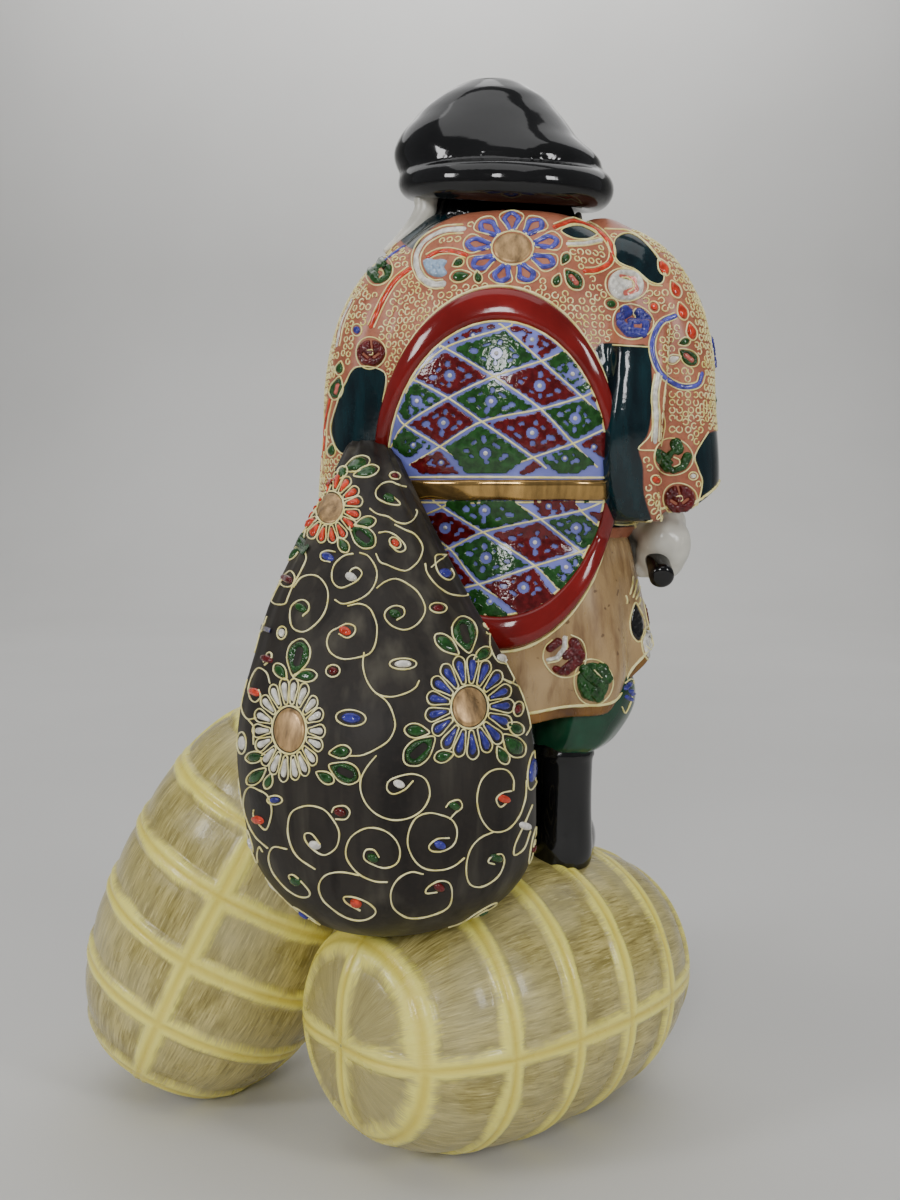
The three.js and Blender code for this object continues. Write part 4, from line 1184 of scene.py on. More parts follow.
def skirt_look():
    look = Look("tan_glaze", linear(168, 134, 98), 0.28)
    cloud = look.noise(45, 3.0)
    tone = look.mix(look.span(cloud, 0.3, 0.7), linear(152, 122, 82), linear(192, 162, 118))
    wash = look.noise(1.0, 4.0, 0.6, look.stretched(look.position(), (260, 260, 50)))
    tone = look.mix(look.span(wash, 0.45, 0.7, 0, 0.75), tone, linear(112, 80, 50))
    above = look.math("ADD", look.value("above_hem"), look.span(cloud, 0.3, 0.7, -0.4, 0.4))
    band = look.mix(look.span(cloud, 0.35, 0.65), linear(96, 62, 26), linear(158, 112, 48))
    tone = look.mix(look.span(above, 2.6, 2.9), band, tone)
    dark = look.span(look.noise(330, 1.0), 0.70, 0.74, 0, 0.7)
    look.set("Base Color", look.mix(dark, tone, linear(84, 58, 38)))
    look.set("Roughness", look.span(wash, 0.3, 0.7, 0.2, 0.36))
    look.bump(look.noise(320, 3.0), 0.15, 0.4)
    return look.mat


def robe_look():
    look = Look("robe_enamel", linear(168, 98, 78), 0.3)
    cloud = look.noise(55, 3.0)
    ground = look.mix(look.span(cloud, 0.3, 0.7), linear(152, 84, 62), linear(188, 120, 90))
    grain = look.noise(700, 2.0)
    ground = look.mix(look.span(grain, 0.5, 0.75, 0, 0.6), ground, linear(134, 70, 50))
    streak = look.noise(1.0, 3.0, 0.5, look.stretched(look.position(), (300, 300, 60)))
    teal = look.mix(look.span(streak, 0.35, 0.7), linear(5, 22, 28), linear(14, 44, 50))
    inside = look.span(look.value("teal"), -0.25, 0.25)
    look.set("Base Color", look.mix(inside, ground, teal))
    look.set("Roughness", look.span(inside, 0, 1, 0.34, 0.1))
    look.bump(look.math("ADD", grain, look.noise(180, 2.0)), 0.12, 0.3)
    return look.mat


def sack_look():
    look = Look("charcoal_glaze", linear(30, 26, 24), 0.5, Specular_IOR_Level=0.22)
    cloud = look.noise(40, 4.0)
    tone = look.mix(look.span(cloud, 0.3, 0.7), linear(34, 30, 27), linear(54, 50, 45))
    # Painted light and shade of folds: long upright streaks, lighter on the ridges and darker in the creases
    fold_light_shade = look.noise(1.0, 3.0, 0.5, look.stretched(look.position(), (130, 130, 14)))
    tone = look.mix(look.span(fold_light_shade, 0.52, 0.72, 0, 0.8), tone, linear(80, 76, 66))
    tone = look.mix(look.span(fold_light_shade, 0.3, 0.42, 0.7, 0), tone, linear(20, 17, 16))
    fine = look.noise(600, 3.0)
    look.set("Base Color", look.mix(look.span(fine, 0.5, 0.8, 0, 0.4), tone, linear(56, 48, 42)))
    look.set("Roughness", look.span(cloud, 0.3, 0.7, 0.42, 0.56))
    look.bump(fine, 0.12, 0.5)
    return look.mat


def gold_look(name="gold_lustre", bright=linear(172, 138, 92), metallic=0.6, roughness=0.3, grain=(420, 420, 90)):
    look = Look(name, bright, roughness, Metallic=metallic)
    # Streaks of brushing; the broad dark and bright bands given to the polished belt are painted reflections
    streak = look.noise(1.0, 4.0, 0.6, look.stretched(look.position(), grain))
    dark = tuple(c * 0.25 for c in bright[:3]) + (1.0,)
    look.set("Base Color", look.mix(look.span(streak, 0.3, 0.7), dark, bright))
    look.set("Roughness", look.span(look.noise(240, 3.0), 0.3, 0.7, roughness * 0.7, roughness * 1.3))
    look.bump(streak, 0.1, 0.3)
    return look.mat


def floor_look():
    look = Look("plain_floor", linear(206, 205, 202), 0.8)
    cloud = look.noise(3, 3.0)
    look.set("Base Color", look.mix(look.span(cloud, 0.3, 0.7), linear(203, 202, 199), linear(209, 208, 205)))
    return look.mat


# ---- Floor and light
def make_stage():
    """A pale paper sweep: the floor curves up behind the figure into a wall."""
    wide, near, far, bend, top = 4.0, -4.0, 1.5, 0.6, 3.0
    turn = np.linspace(0, math.pi / 2, 16)
    line = [(near, 0)] + [(far + bend * math.sin(t), bend * (1 - math.cos(t))) for t in turn] + [(far + bend, top)]
    verts = [(x, y, z) for y, z in line for x in (-wide, wide)]
    faces = [(2 * k, 2 * k + 1, 2 * k + 3, 2 * k + 2) for k in range(len(line) - 1)]
    mesh = bpy.data.meshes.new("floor")
    mesh.from_pydata(verts, [], faces)
    mesh.materials.append(floor_look())
    mesh.polygons.foreach_set("use_smooth", [True] * len(faces))
    floor = bpy.data.objects.new("floor", mesh)
    bpy.context.scene.collection.objects.link(floor)
    world = bpy.data.worlds.new("studio")
    bpy.context.scene.world = world
    world.use_nodes = True
    tree = world.node_tree
    tree.nodes.clear()
    out = tree.nodes.new("ShaderNodeOutputWorld")
    soft = tree.nodes.new("ShaderNodeBackground")
    soft.inputs["Color"].default_value = linear(236, 238, 242)
    soft.inputs["Strength"].default_value = 0.24
    tree.links.new(soft.outputs[0], out.inputs[0])


def area_light(name, at, size, radiance, target=(0, 0, 180)):
    """A soft box; its place is in millimetres and its size in metres."""
    data = bpy.data.lights.new(name, "AREA")
    data.shape = "RECTANGLE"
    data.size, data.size_y = size
    data.energy = radiance * math.pi * size[0] * size[1]
    light = bpy.data.objects.new(name, data)
    bpy.context.scene.collection.objects.link(light)
    light.location = metres(at)
    direction = Vector(metres(target)) - light.location
    light.rotation_euler = direction.to_track_quat("-Z", "Y").to_euler()


def make_lights():
    for name, turn, radiance in (("key_left", -60, 18), ("key_middle", -10, 20), ("key_right", 47, 18)):
        a = math.radians(turn)
        at = (1300 * math.sin(a), -1300 * math.cos(a), 690)
        area_light(name, at, (0.24, 0.36), radiance)
    area_light("ceiling", (-90, -300, 1250), (1.2, 0.8), 1.3)
    area_light("front_right", (480, 800, 1350), (1.1, 1.1), 1.1)
    area_light("front_left", (-480, 800, 1350), (1.1, 1.1), 1.1)
    area_light("backdrop", (0, 1500, 1500), (1.6, 0.4), 7.0, (0, 2150, 800))


def enamel_look(name, colour, roughness=0.09, metallic=0.0, bright=1.3):
    """Glassy raised enamel: thicker and darker in places, with a wet shine."""
    look = Look(name, colour, roughness, Metallic=metallic)
    cloud = look.noise(520, 2.0)
    deep = tuple(c * 0.6 for c in colour[:3]) + (1.0,)
    light = tuple(min(c * bright + 0.003, 1) for c in colour[:3]) + (1.0,)
    look.set("Base Color", look.mix(look.span(cloud, 0.34, 0.66), deep, light))
    look.set("Roughness", look.span(look.noise(300, 2.0), 0.3, 0.7, roughness * 0.7, roughness * 1.6))
    look.bump(look.noise(520, 2.0), 0.36, 0.5)
    return look.mat


def cream_look():
    look = Look("cream_line", linear(246, 238, 176), 0.28)
    worn = look.noise(260, 4.0)
    look.set("Base Color", look.mix(look.span(worn, 0.35, 0.7), linear(240, 226, 138), linear(255, 249, 194)))
    look.set("Roughness", look.span(worn, 0.3, 0.7, 0.22, 0.4))
    look.bump(look.noise(1200, 2.0), 0.05, 0.4)
    return look.mat


ENAMELS = {
    "cream": cream_look(),
    "gilt": gold_look("gilt_disc", linear(206, 166, 114), 0.4, 0.38),
    "violet": enamel_look("enamel_violet", linear(82, 82, 176)),
    "white": enamel_look("enamel_white", linear(238, 234, 224), bright=1.04),
    "orange": enamel_look("enamel_orange", linear(208, 64, 38)),
    "paleblue": enamel_look("enamel_paleblue", linear(160, 186, 214), bright=1.1),
    "green": enamel_look("enamel_green", linear(31, 74, 28)),
    "darkred": enamel_look("enamel_darkred", linear(92, 13, 17)),
    "blue": enamel_look("enamel_blue", linear(53, 54, 140)),
    "pink": enamel_look("enamel_pink", linear(214, 110, 98)),
    "ink": enamel_look("enamel_ink", linear(14, 13, 14)),
}


# ---- Laying enamel on a surface
THREAD = 0.47  # width of a drawn line of enamel, in millimetres


class Photo:
    """Places drawn in the photograph's pixels, on the surface that the camera sees there."""

    STEP, HAND = 1.6, 1

    def __init__(self, skin, reach=400.0):
        self.skin = skin
        self.reach = reach

    def at(self, points):
        found = []
        for px, py in points:
            d = ray(px, py)
            hit = self.skin.cast(EYE, d)
            if hit is None:
                hit = self.skin.nearest(EYE + d * self.reach)
            else:
                self.reach = float(np.linalg.norm(hit[0] - EYE))
            found.append(hit)
        return np.array([f[0] for f in found]), np.array([f[1] for f in found])


class Spot:
    """Places drawn about a point of a surface, in the photograph's scale, with y downward."""

    SCALE, STEP, HAND = 0.3, 1.6, 1

    def __init__(self, skin, point, turn=0.0, scale=1.0):
        self.skin = skin
        self.base, self.normal = skin.nearest(point)
        east = unit(np.cross((0, 0, 1.0), self.normal))
        north = np.cross(self.normal, east)
        c, s = math.cos(turn), math.sin(turn)
        self.east = (east * c + north * s) * self.SCALE * scale
        self.south = (east * s - north * c) * self.SCALE * scale

    def at(self, points):
        found = []
        for u, v in points:
            p = self.base + self.east * u + self.south * v
            hit = self.skin.cast(p + self.normal * 9, -self.normal)
            if hit is None or np.linalg.norm(hit[0] - p) > 14:
                hit = self.skin.nearest(p)
            found.append(hit)
        return np.array([f[0] for f in found]), np.array([f[1] for f in found])


class Facing:
    """Places given by x and z in millimetres, on the back (way 1) or the front (way -1)."""

    STEP = 0.5

    def __init__(self, skin, way):
        self.skin, self.way, self.HAND = skin, way, -way

    def at(self, points):
        found = []
        for x, z in points:
            start = np.array([x, -200.0 * self.way, z])
            hit = self.skin.cast(start, (0, self.way, 0))
            found.append(hit or self.skin.nearest(start * (1, 0.2, 1)))
        return np.array([f[0] for f in found]), np.array([f[1] for f in found])


class Enamel:
    """Raised enamel of one colour on one surface, gathered into one piece."""

    def __init__(self, taken=None):
        self.verts, self.faces = [], []
        self.count = 0
        self.taken = taken if taken is not None else []

    def add(self, verts, faces):
        self.verts.append(verts)
        self.faces += [[i + self.count for i in f] for f in faces]
        self.count += len(verts)

    def tube(self, path, normals, width, height, section=8, closed=False):
        """A half-round thread along a path that already lies on the surface."""
        n = len(path)
        if closed:
            tangent = np.roll(path, -1, axis=0) - np.roll(path, 1, axis=0)
        else:
            tangent = np.gradient(path, axis=0)
        tangent = unit(tangent)
        side = unit(np.cross(tangent, normals))
        angle = 2 * np.pi * (np.arange(section) + 0.5) / section
        wobble = 1 + 0.09 * np.sin(np.arange(n) * 0.55 + random.random() * 6)
        wobble *= 1 + 0.05 * np.sin(np.arange(n) * 0.21 + random.random() * 6)
        across = np.cos(angle) * width / 2
        rise = np.where(np.sin(angle) > 0, np.sin(angle) * height, np.sin(angle) * 0.25)
        rings = (
            path[:, None]
            + side[:, None] * (across[None, :] * wobble[:, None])[..., None]
            + normals[:, None] * (rise[None, :] * wobble[:, None])[..., None]
        )
        if closed:
            faces = grid_faces(n, section)
            last = (n - 1) * section
            faces += [[last + j, last + (j + 1) % section, (j + 1) % section, j] for j in range(section)]
            self.add(rings.reshape(-1, 3), [f[::-1] for f in faces])
            return
        caps = []
        for end, way in ((0, -1), (-1, 1)):
            for bend in (0.45, 0.9, 1.3):
                middle = path[end] + tangent[end] * way * math.sin(bend) * width / 2
                ring = rings[end] - path[end]
                caps.append(middle + ring * math.cos(bend))
        rings = np.concatenate([np.array(caps[:3])[::-1], rings, np.array(caps[3:])])
        verts, faces = closed_rings(rings)
        self.add(verts, [f[::-1] for f in faces])

    def thread(self, place, points, width=THREAD, height=0.42, closed=False):
        """A thread of enamel drawn through the points."""
        pts = np.asarray(points, float)
        loop = np.vstack([pts, pts[:1]]) if closed else pts
        length = np.linalg.norm(np.diff(loop, axis=0), axis=1).sum()
        drawn = catmull(pts, max(int(length / place.STEP), 8), closed)
        path, _ = place.at(drawn)
        self.lay(place.skin, path, width, height, closed)

    def lay(self, skin, path, width=THREAD, height=0.42, closed=False, step=0.45):
        """A thread along a path in space, brought down to the surface."""
        if closed:
            path = np.vstack([path, path[:1]])
        arc = np.concatenate([[0], np.cumsum(np.linalg.norm(np.diff(path, axis=0), axis=1))])
        even = np.linspace(0, arc[-1], max(int(arc[-1] / step), 6) + 1)
        path = np.stack([np.interp(even, arc, path[:, k]) for k in range(3)], axis=1)
        if closed:
            path = path[:-1]
        found = [skin.nearest(p) for p in path]
        path, normals = np.array([f[0] for f in found]), np.array([f[1] for f in found])
        self.taken += [(p, width / 2) for p in path[::2]]
        self.tube(path, normals, width, height, closed=closed)

    def pad(self, place, outline, height=0.7, centre=None, rows=7, dips=(), shape=3.0, sides=36):
        """A domed drop of enamel inside an outline, with dips as (x, y, radius)."""
        edge = catmull(outline, sides, closed=True) if len(outline) < sides else np.array(outline)
        middle = edge.mean(axis=0) if centre is None else np.asarray(centre, float)
        share = np.concatenate([[0.03], np.linspace(0.03, 1, rows + 1)[1:]])
        flat = middle + (edge - middle)[None, :] * share[:, None, None]
        m = len(edge)
        path, normals = place.at(flat.reshape(-1, 2))
        lift = height * np.sqrt(np.maximum(1 - share**shape, 0)) + 0.02
        lift[-1] = -0.2
        lift = (lift[:, None] * np.ones(m)).ravel()
        for x, y, r in dips:
            d = np.linalg.norm(flat.reshape(-1, 2) - (x, y), axis=1) / r
            lift = np.minimum(lift, np.where(d < 1.5, -0.25 + (height + 0.3) * np.clip(2 * (d - 0.8), 0, 1), lift))
        verts = (path + normals * lift[:, None]).reshape(len(share), m, 3)
        self.taken += [(p, 0.4) for p in path.reshape(len(share), m, 3)[::3, ::4].reshape(-1, 3)]
        under = path.reshape(len(share), m, 3)[-1] - normals.reshape(len(share), m, 3)[-1] * 0.3
        bottom = under.mean(axis=0) + (under - under.mean(axis=0)) * 0.3
        bottom -= normals.reshape(len(share), m, 3)[0] * 0.3
        rings = np.concatenate([verts[1:], [under, bottom]])
        made, faces = closed_rings(rings)
        turned = np.cross(edge[1] - edge[0], edge[0] - middle) * place.HAND > 0
        self.add(made, faces if turned else [f[::-1] for f in faces])

    def drop(self, place, outline=None, strokes=(), cuts=(), height=0.8, shoulder=3.2, inset=0.0, rough=0.0, room=None):
        """Thick enamel over an outline or some strokes, less the cuts that show the ground.

        Strokes and cuts are (x0, y0, x1, y1, radius) in the place's own units.
        """
        grid = 0.9
        ends = [(x, y) for x0, y0, x1, y1, _ in strokes for x, y in ((x0, y0), (x1, y1))]
        marks = np.array(ends + ([] if outline is None else [tuple(p) for p in outline]))
        reach = max([k[4] for k in strokes], default=0) + 2 * grid
        low, high = marks.min(axis=0) - reach, marks.max(axis=0) + reach
        n, m = (np.ceil((high - low) / grid).astype(int) + 1).tolist()
        i, j = np.meshgrid(np.arange(n), np.arange(m), indexing="ij")
        flat = np.stack([low[0] + i * grid, low[1] + j * grid], axis=-1).reshape(-1, 2)
        inside = within_strokes(flat, strokes)
        if outline is not None:
            inside = np.maximum(inside, inside_by(flat, np.array(outline, float), 1.0, not inset) - inset)
            if room is not None:
                inside = np.minimum(inside, room(flat) - 2.6)
            inside += rough * np.sin(flat[:, 0] * 0.5 + flat[0, 0]) * np.sin(flat[:, 1] * 0.6 + flat[0, 1])
        inside = np.minimum(inside, -within_strokes(flat, cuts))
        rise = height * np.sqrt(1 - (1 - np.clip(inside / shoulder, 0, 1)) ** 2)
        ripple = np.sin(flat[:, 0] * 0.9 + flat[0, 1]) * np.sin(flat[:, 1] * 0.8 + flat[0, 0])
        rise *= 1 + 0.25 * ripple
        rise = np.where(inside < 0, np.maximum(inside * 0.4, -0.35), rise)
        cell = (inside > 0).reshape(n, m)
        cell = cell[:-1, :-1] | cell[1:, :-1] | cell[:-1, 1:] | cell[1:, 1:]
        corner = np.zeros((n, m), bool)
        for a, b in ((0, 0), (1, 0), (0, 1), (1, 1)):
            corner[a : n - 1 + a, b : m - 1 + b] |= cell
        used = np.flatnonzero(corner.ravel())
        if not len(used):
            return
        index = np.full(n * m, -1)
        index[used] = np.arange(len(used))
        path, normals = place.at(flat[used])
        verts = np.vstack([path + normals * rise[used, None], path - normals * 0.5])
        ci, cj = np.nonzero(cell)
        quad = np.stack([index[(ci + a) * m + cj + b] for a, b in ((0, 0), (0, 1), (1, 1), (1, 0))], axis=1)
        faces = [quad, quad[:, ::-1] + len(used)]
        padded = np.pad(cell, 1)
        for di, dj, a, b in ((-1, 0, 0, 1), (0, 1, 1, 2), (1, 0, 2, 3), (0, -1, 3, 0)):
            rim = ~padded[ci + 1 + di, cj + 1 + dj]
            p, q = quad[rim, a], quad[rim, b]
            faces.append(np.stack([q, p, p + len(used), q + len(used)], axis=1))
        faces = np.vstack(faces)
        self.taken += [(p, 0.3) for p in path[::4]]
        self.add(verts, (faces if place.HAND > 0 else faces[:, ::-1]).tolist())

    def bead(self, place, point, radius, height=0.6):
        """A round drop, its radius in millimetres."""
        (p,), (n,) = place.at([point])
        east = unit(np.cross((0.3, 0.1, 1.0), n))
        north = np.cross(n, east)
        angle = 2 * np.pi * np.arange(14) / 14
        rings = []
        for bend in np.radians([0, 25, 50, 72, 86]):
            wheel = np.cos(angle)[:, None] * east + np.sin(angle)[:, None] * north
            rings.append(p + wheel * radius * math.cos(bend) + n * (height * math.sin(bend) - 0.05))
        low = [rings[0] - n * 0.3]
        verts, faces = closed_rings(low + rings)
        self.taken.append((p, radius))
        self.add(verts, faces)

    def make(self, name, look, slot):
        if self.verts:
            piece(name, np.vstack(self.verts), self.faces, look, slot)


class Kit(dict):
    """The enamels of one surface, by colour, with what they cover."""

    def __init__(self, name, slot):
        super().__init__()
        self.name, self.slot = name, slot
        self.taken = []

    def __missing__(self, colour):
        self[colour] = Enamel(self.taken)
        return self[colour]

    def make(self):
        for colour, enamel in self.items():
            enamel.make(f"{self.name}_{colour}", ENAMELS[colour], self.slot)


# ---- Motifs, drawn the same way wherever they lie
def within_strokes(points, strokes):
    """How far points lie inside the nearest of some round-ended strokes."""
    best = np.full(len(points), -1e3)
    for x0, y0, x1, y1, r in strokes:
        a, d = np.array([x0, y0], float), np.array([x1 - x0, y1 - y0], float)
        t = np.clip(((points - a) @ d) / max(d @ d, 1e-9), 0, 1)
        best = np.maximum(best, r - np.linalg.norm(points - a - t[:, None] * d, axis=1))
    return best


def ring_points(cx, cy, rx, ry, turn=0.0, count=16, wave=0.0, lobes=0, phase=0.0):
    t = 2 * np.pi * np.arange(count) / count
    r = 1 + wave * np.cos(lobes * t + phase)
    x, y = rx * r * np.cos(t), ry * r * np.sin(t)
    c, s = math.cos(turn), math.sin(turn)
    return np.stack([cx + x * c - y * s, cy + x * s + y * c], axis=1)


def leaf_points(cx, cy, long, wide, turn):
    """A leaf, narrow at its stalk and round at its tip, which points to turn in degrees."""
    shape = [(-0.5, 0), (-0.32, 0.24), (-0.02, 0.46), (0.28, 0.43), (0.46, 0.2), (0.51, 0)]
    shape += [(u, -v) for u, v in shape[-2:0:-1]]
    a = math.radians(turn)
    c, s = math.cos(a), math.sin(a)
    return [(cx + u * long * c - v * wide * s, cy + u * long * s + v * wide * c) for u, v in shape]


def scaled(outline, share):
    edge = np.asarray(outline, float)
    middle = (edge.min(axis=0) + edge.max(axis=0)) / 2
    return middle + (edge - middle) * share


def filled(kit, place, outline, colour, height=0.7, inset=0.8):
    """An outlined drop of colour: a cream thread round a domed pad."""
    kit[colour].pad(place, scaled(outline, inset), height, sides=24)
    kit["cream"].thread(place, outline, closed=True)


def leaf(kit, place, cx, cy, long, wide, turn, heart=None):
    """A leaf; a large one is a rim of green round a hollow or a heart of another colour."""
    outline = leaf_points(cx, cy, long, wide, turn)
    if heart is None:
        filled(kit, place, outline, "green", 0.75, 0.78)
        return
    a = math.radians(turn)
    u, v = long * math.cos(a), long * math.sin(a)
    slot = (cx - 0.12 * u, cy - 0.12 * v, cx + 0.2 * u, cy + 0.2 * v)
    kit["cream"].thread(place, outline, closed=True)
    kit["green"].drop(place, scaled(outline, 0.84), cuts=[(*slot, wide * 0.17)], height=0.85, shoulder=2.4)
    if heart != "hollow":
        kit[heart].drop(place, strokes=[(*slot, wide * 0.13)], height=0.45, shoulder=1.8)


def daisy(kit, place, centre, disc, outer, petals, colour, turn=0.0, start=0.0, hollow=False):
    """A gilt disc with a ring of petals, each a drop of colour in a cream outline."""
    middle = np.array(centre, float)
    disc, outer = np.array(disc, float), np.array(outer, float)
    c, s = math.cos(turn), math.sin(turn)
    rim = [(0.02, 0.46), (0.2, 0.62), (0.45, 0.76), (0.66, 0.85), (0.84, 0.76), (0.95, 0.42)]
    core = [(0.14, 0.32), (0.4, 0.43), (0.66, 0.47), (0.8, 0.36)]

    def at(share, t):
        x, y = (disc * 1.08 + (outer - disc * 1.08) * share) * (math.cos(t), math.sin(t))
        return middle + (x * c - y * s, x * s + y * c)

    for k in range(petals):
        t = start + 2 * math.pi * k / petals + random.uniform(-0.025, 0.025)
        half = math.pi / petals
        grow = random.uniform(0.95, 1.04)
        left = [at(share * grow, t - half * w) for share, w in rim]
        right = [at(share * grow, t + half * w) for share, w in reversed(rim)]
        outline = np.array(left + [at(grow, t)] + right)
        kit["cream"].thread(place, outline, 0.42, 0.4, closed=True)
        if hollow:
            kit[colour].thread(place, [at(a, t + half * w) for a, w in HOOP], 1.7, 0.62)
        else:
            left = [at(share, t - half * w) for share, w in core]
            right = [at(share, t + half * w) for share, w in reversed(core)]
            kit[colour].pad(place, np.array([at(0.1, t)] + left + [at(0.88, t)] + right), 0.85, sides=22, rows=5)
    rim = ring_points(*centre, disc[0], disc[1], turn, 24)
    kit["gilt"].pad(place, middle + (rim - middle) * 0.96, 0.35, shape=10)
    kit["cream"].thread(place, rim, 0.56, closed=True)


HOOP = [(0.06, -0.3), (0.3, -0.46), (0.6, -0.52), (0.84, 0), (0.6, 0.52), (0.3, 0.46), (0.06, 0.3)]
# Round flowers, in strokes and cuts within a circle of radius 1
KNOT = [(-0.5, -0.62, -0.3, -0.5, 0.24), (-0.66, -0.2, -0.6, 0.2, 0.2), (-0.55, 0.25, -0.1, 0.62, 0.24)]
KNOT += [(0.1, 0.6, 0.6, 0.5, 0.26), (0.24, -0.56, 0.62, -0.3, 0.28), (0.68, -0.1, 0.66, 0.42, 0.2)]
KNOT += [(-0.12, -0.02, 0, 0.5, 0.16), (-0.1, -0.06, 0.3, -0.1, 0.15), (-0.6, -0.1, -0.3, -0.42, 0.17)]
TREFOIL = [(-0.05, -0.72, 0.1, -0.5, 0.33), (-0.78, 0, -0.4, 0.12, 0.2), (-0.5, 0.25, -0.1, 0.55, 0.34)]
TREFOIL += [(0.7, -0.25, 0.62, 0.2, 0.24), (0.6, 0.3, 0.2, 0.62, 0.24), (0, -0.4, -0.3, 0.15, 0.18)]
DOME = [(-0.1, 0, 0.1, 0, 0.82)]
MOTIFS = {
    "white": (DOME, [(-0.3, -0.5, 0.35, -0.42, 0.08), (0.35, -0.42, 0.5, 0.2, 0.11), (0.5, 0.2, 0, 0.5, 0.14)]),
    "blue": (KNOT, []),
    "green": (TREFOIL, [(0.1, -0.05, 0.35, 0.2, 0.13), (0.35, 0.2, 0.15, 0.42, 0.1)]),
    "darkred": (DOME, [(-0.1, -0.8, 0.02, -0.3, 0.07), (-0.5, 0.1, -0.2, 0.3, 0.09), (0.2, 0.25, 0.5, 0, 0.09)]),
}
CURLS = {
    "white": [[(-0.4, -0.3), (0, -0.42), (0.34, -0.2), (0.36, 0.2), (0.12, 0.42)]],
    "blue": [[(0.02, -0.78), (-0.1, -0.5), (0.08, -0.3), (0.02, -0.1)]],
    "green": [[(0.05, 0), (0.34, 0.04), (0.42, 0.28), (0.2, 0.48)]],
    "darkred": [[(-0.2, -0.15), (0.1, -0.2), (0.15, 0.08), (-0.08, 0.12)]],
}


def peony(kit, place, centre, size, colour, turn=0.0, ground=None):
    """A full round flower of thick strokes in a cream outline."""
    half = np.array(size) / 2
    c, s = math.cos(turn), math.sin(turn)

    def at(x, y):
        x, y = x * half[0], y * half[1]
        return centre[0] + x * c - y * s, centre[1] + x * s + y * c

    def drawn(strokes):
        return [(*at(a, b), *at(d, e), r * half.mean()) for a, b, d, e, r in strokes]

    kit["cream"].thread(place, ring_points(*centre, *half, turn, 20, 0.03, 3, 0.4), closed=True)
    strokes, cuts = MOTIFS[colour]
    if ground:
        kit[ground].drop(place, strokes=drawn([(-0.05, 0, 0.05, 0, 0.8)]), height=0.25, shoulder=1.5)
    kit[colour].drop(place, strokes=drawn(strokes), cuts=drawn(cuts), height=0.9, shoulder=2.8)
    for curl in CURLS[colour]:
        kit["cream"].thread(place, [at(*p) for p in curl], 0.5, 1.1 if strokes is DOME else 0.5)


def scroll(kit, place, points):
    kit["cream"].thread(place, points)


def seed(kit, place, centre, size, colour, turn=0.0):
    """A capsule of colour in a cream outline."""
    outline = ring_points(centre[0], centre[1], size[0] / 2, size[1] / 2, math.radians(turn), 14)
    filled(kit, place, outline, colour, 0.75, 0.66)


def dot(kit, place, point, colour, radius=1.5):
    kit[colour].bead(place, point, radius, 0.8)


def band(kit, place, points, width_px, colour, height=0.45, edges=True):
    """A ribbon of colour between two cream threads."""
    pts = np.asarray(points, float)
    length = np.linalg.norm(np.diff(pts, axis=0), axis=1).sum()
    line = catmull(pts, max(int(length / 6), 5))
    side = unit(np.gradient(line, axis=0))[:, ::-1] * (1, -1)
    kit[colour].thread(place, line, width_px * 0.3, height)
    if edges:
        for way in (-0.58, 0.58):
            kit["cream"].thread(place, line + side * way * width_px)


def curl_points(radius, turns=1.45, start=0.0, hand=1, count=14):
    """A spiral that winds in to its middle."""
    t = np.linspace(0, 1, count)
    r = radius * (1 - 0.72 * t)
    a = start + hand * turns * 2 * np.pi * t
    return np.stack([r * np.cos(a), r * np.sin(a)], axis=1)


# ---- Painted regions: signed distance to closed outlines
def inside_by(points, outline, scale, rounded=True):
    """Distance inside a closed outline, negative outside it, over a scale."""
    edge = catmull(outline, len(outline) * 5, closed=True) if rounded else outline
    a, b = edge, np.roll(edge, -1, axis=0)
    best = np.full(len(points), 1e9)
    odd = np.zeros(len(points), bool)
    for p, q in zip(a, b):
        d = q - p
        t = np.clip(((points - p) @ d) / max(d @ d, 1e-9), 0, 1)
        best = np.minimum(best, np.linalg.norm(points - (p + t[:, None] * d), axis=1))
        crosses = (p[1] > points[:, 1]) != (q[1] > points[:, 1])
        x = p[0] + (points[:, 1] - p[1]) / (d[1] if d[1] else 1e-9) * d[0]
        odd ^= crosses & (points[:, 0] < x)
    return np.where(odd, best, -best) / scale


def region(verts, normals, seen_outlines, front_outlines):
    """How far each vertex lies inside the painted regions, back and front."""
    seen = (normals * unit(verts - EYE)).sum(axis=1) < 0.2
    pixels = pixels_of(verts)
    front = verts[:, [0, 2]]
    out = np.full(len(verts), -20.0)
    for outline in seen_outlines:
        d = inside_by(pixels, np.array(outline, float), 3.3)
        out = np.where(seen, np.maximum(out, d), out)
    for outline in front_outlines:
        d = inside_by(front, np.array(outline, float), 1.0)
        out = np.where(seen, out, np.maximum(out, d))
    return out


# ---- The brocade lattice of the back panel
NODES = {
    "n1": (505, 328), "n2": (541.5, 361), "n3": (582, 397), "n4": (445, 348), "n5": (494, 376.5),
    "n6": (540.5, 409), "n7": (409, 375.5), "n8": (448, 398), "m2": (482, 421.7), "m3": (573, 443.5),
    "m4": (533, 457.5), "m5": (440, 446.6), "m6": (405, 425), "k1": (442, 507.3), "k2": (483, 532.3),
    "k3": (540.5, 519.3), "k4": (580.6, 510.6), "k5": (535, 566), "k6": (580.6, 551.8),
    "k7": (478.7, 584.3), "k8": (449, 548.5), "p7": (432, 602), "p8": (404, 566), "a1": (408, 522),
}
DOWN_LINES = [
    [(499, 324), "n1", "n2", "n3", (608, 416)],
    [(438, 344), "n4", "n5", "n6", "m3", (597, 467)],
    [(396, 370), "n7", "n8", "m2", "m4", (546, 468)],
    [(391, 412), "m6", "m5", (478, 471)],
    [(428, 495), "k1", "k2", "k5", (562, 594)],
    [(502, 495), "k3", "k6", (596, 567)],
    [(568, 495), "k4", (606, 532)],
    [(396, 500), "a1", "k8", "k7", (524, 611)],
    [(393, 545), "p8", "p7", (462, 620)],
]
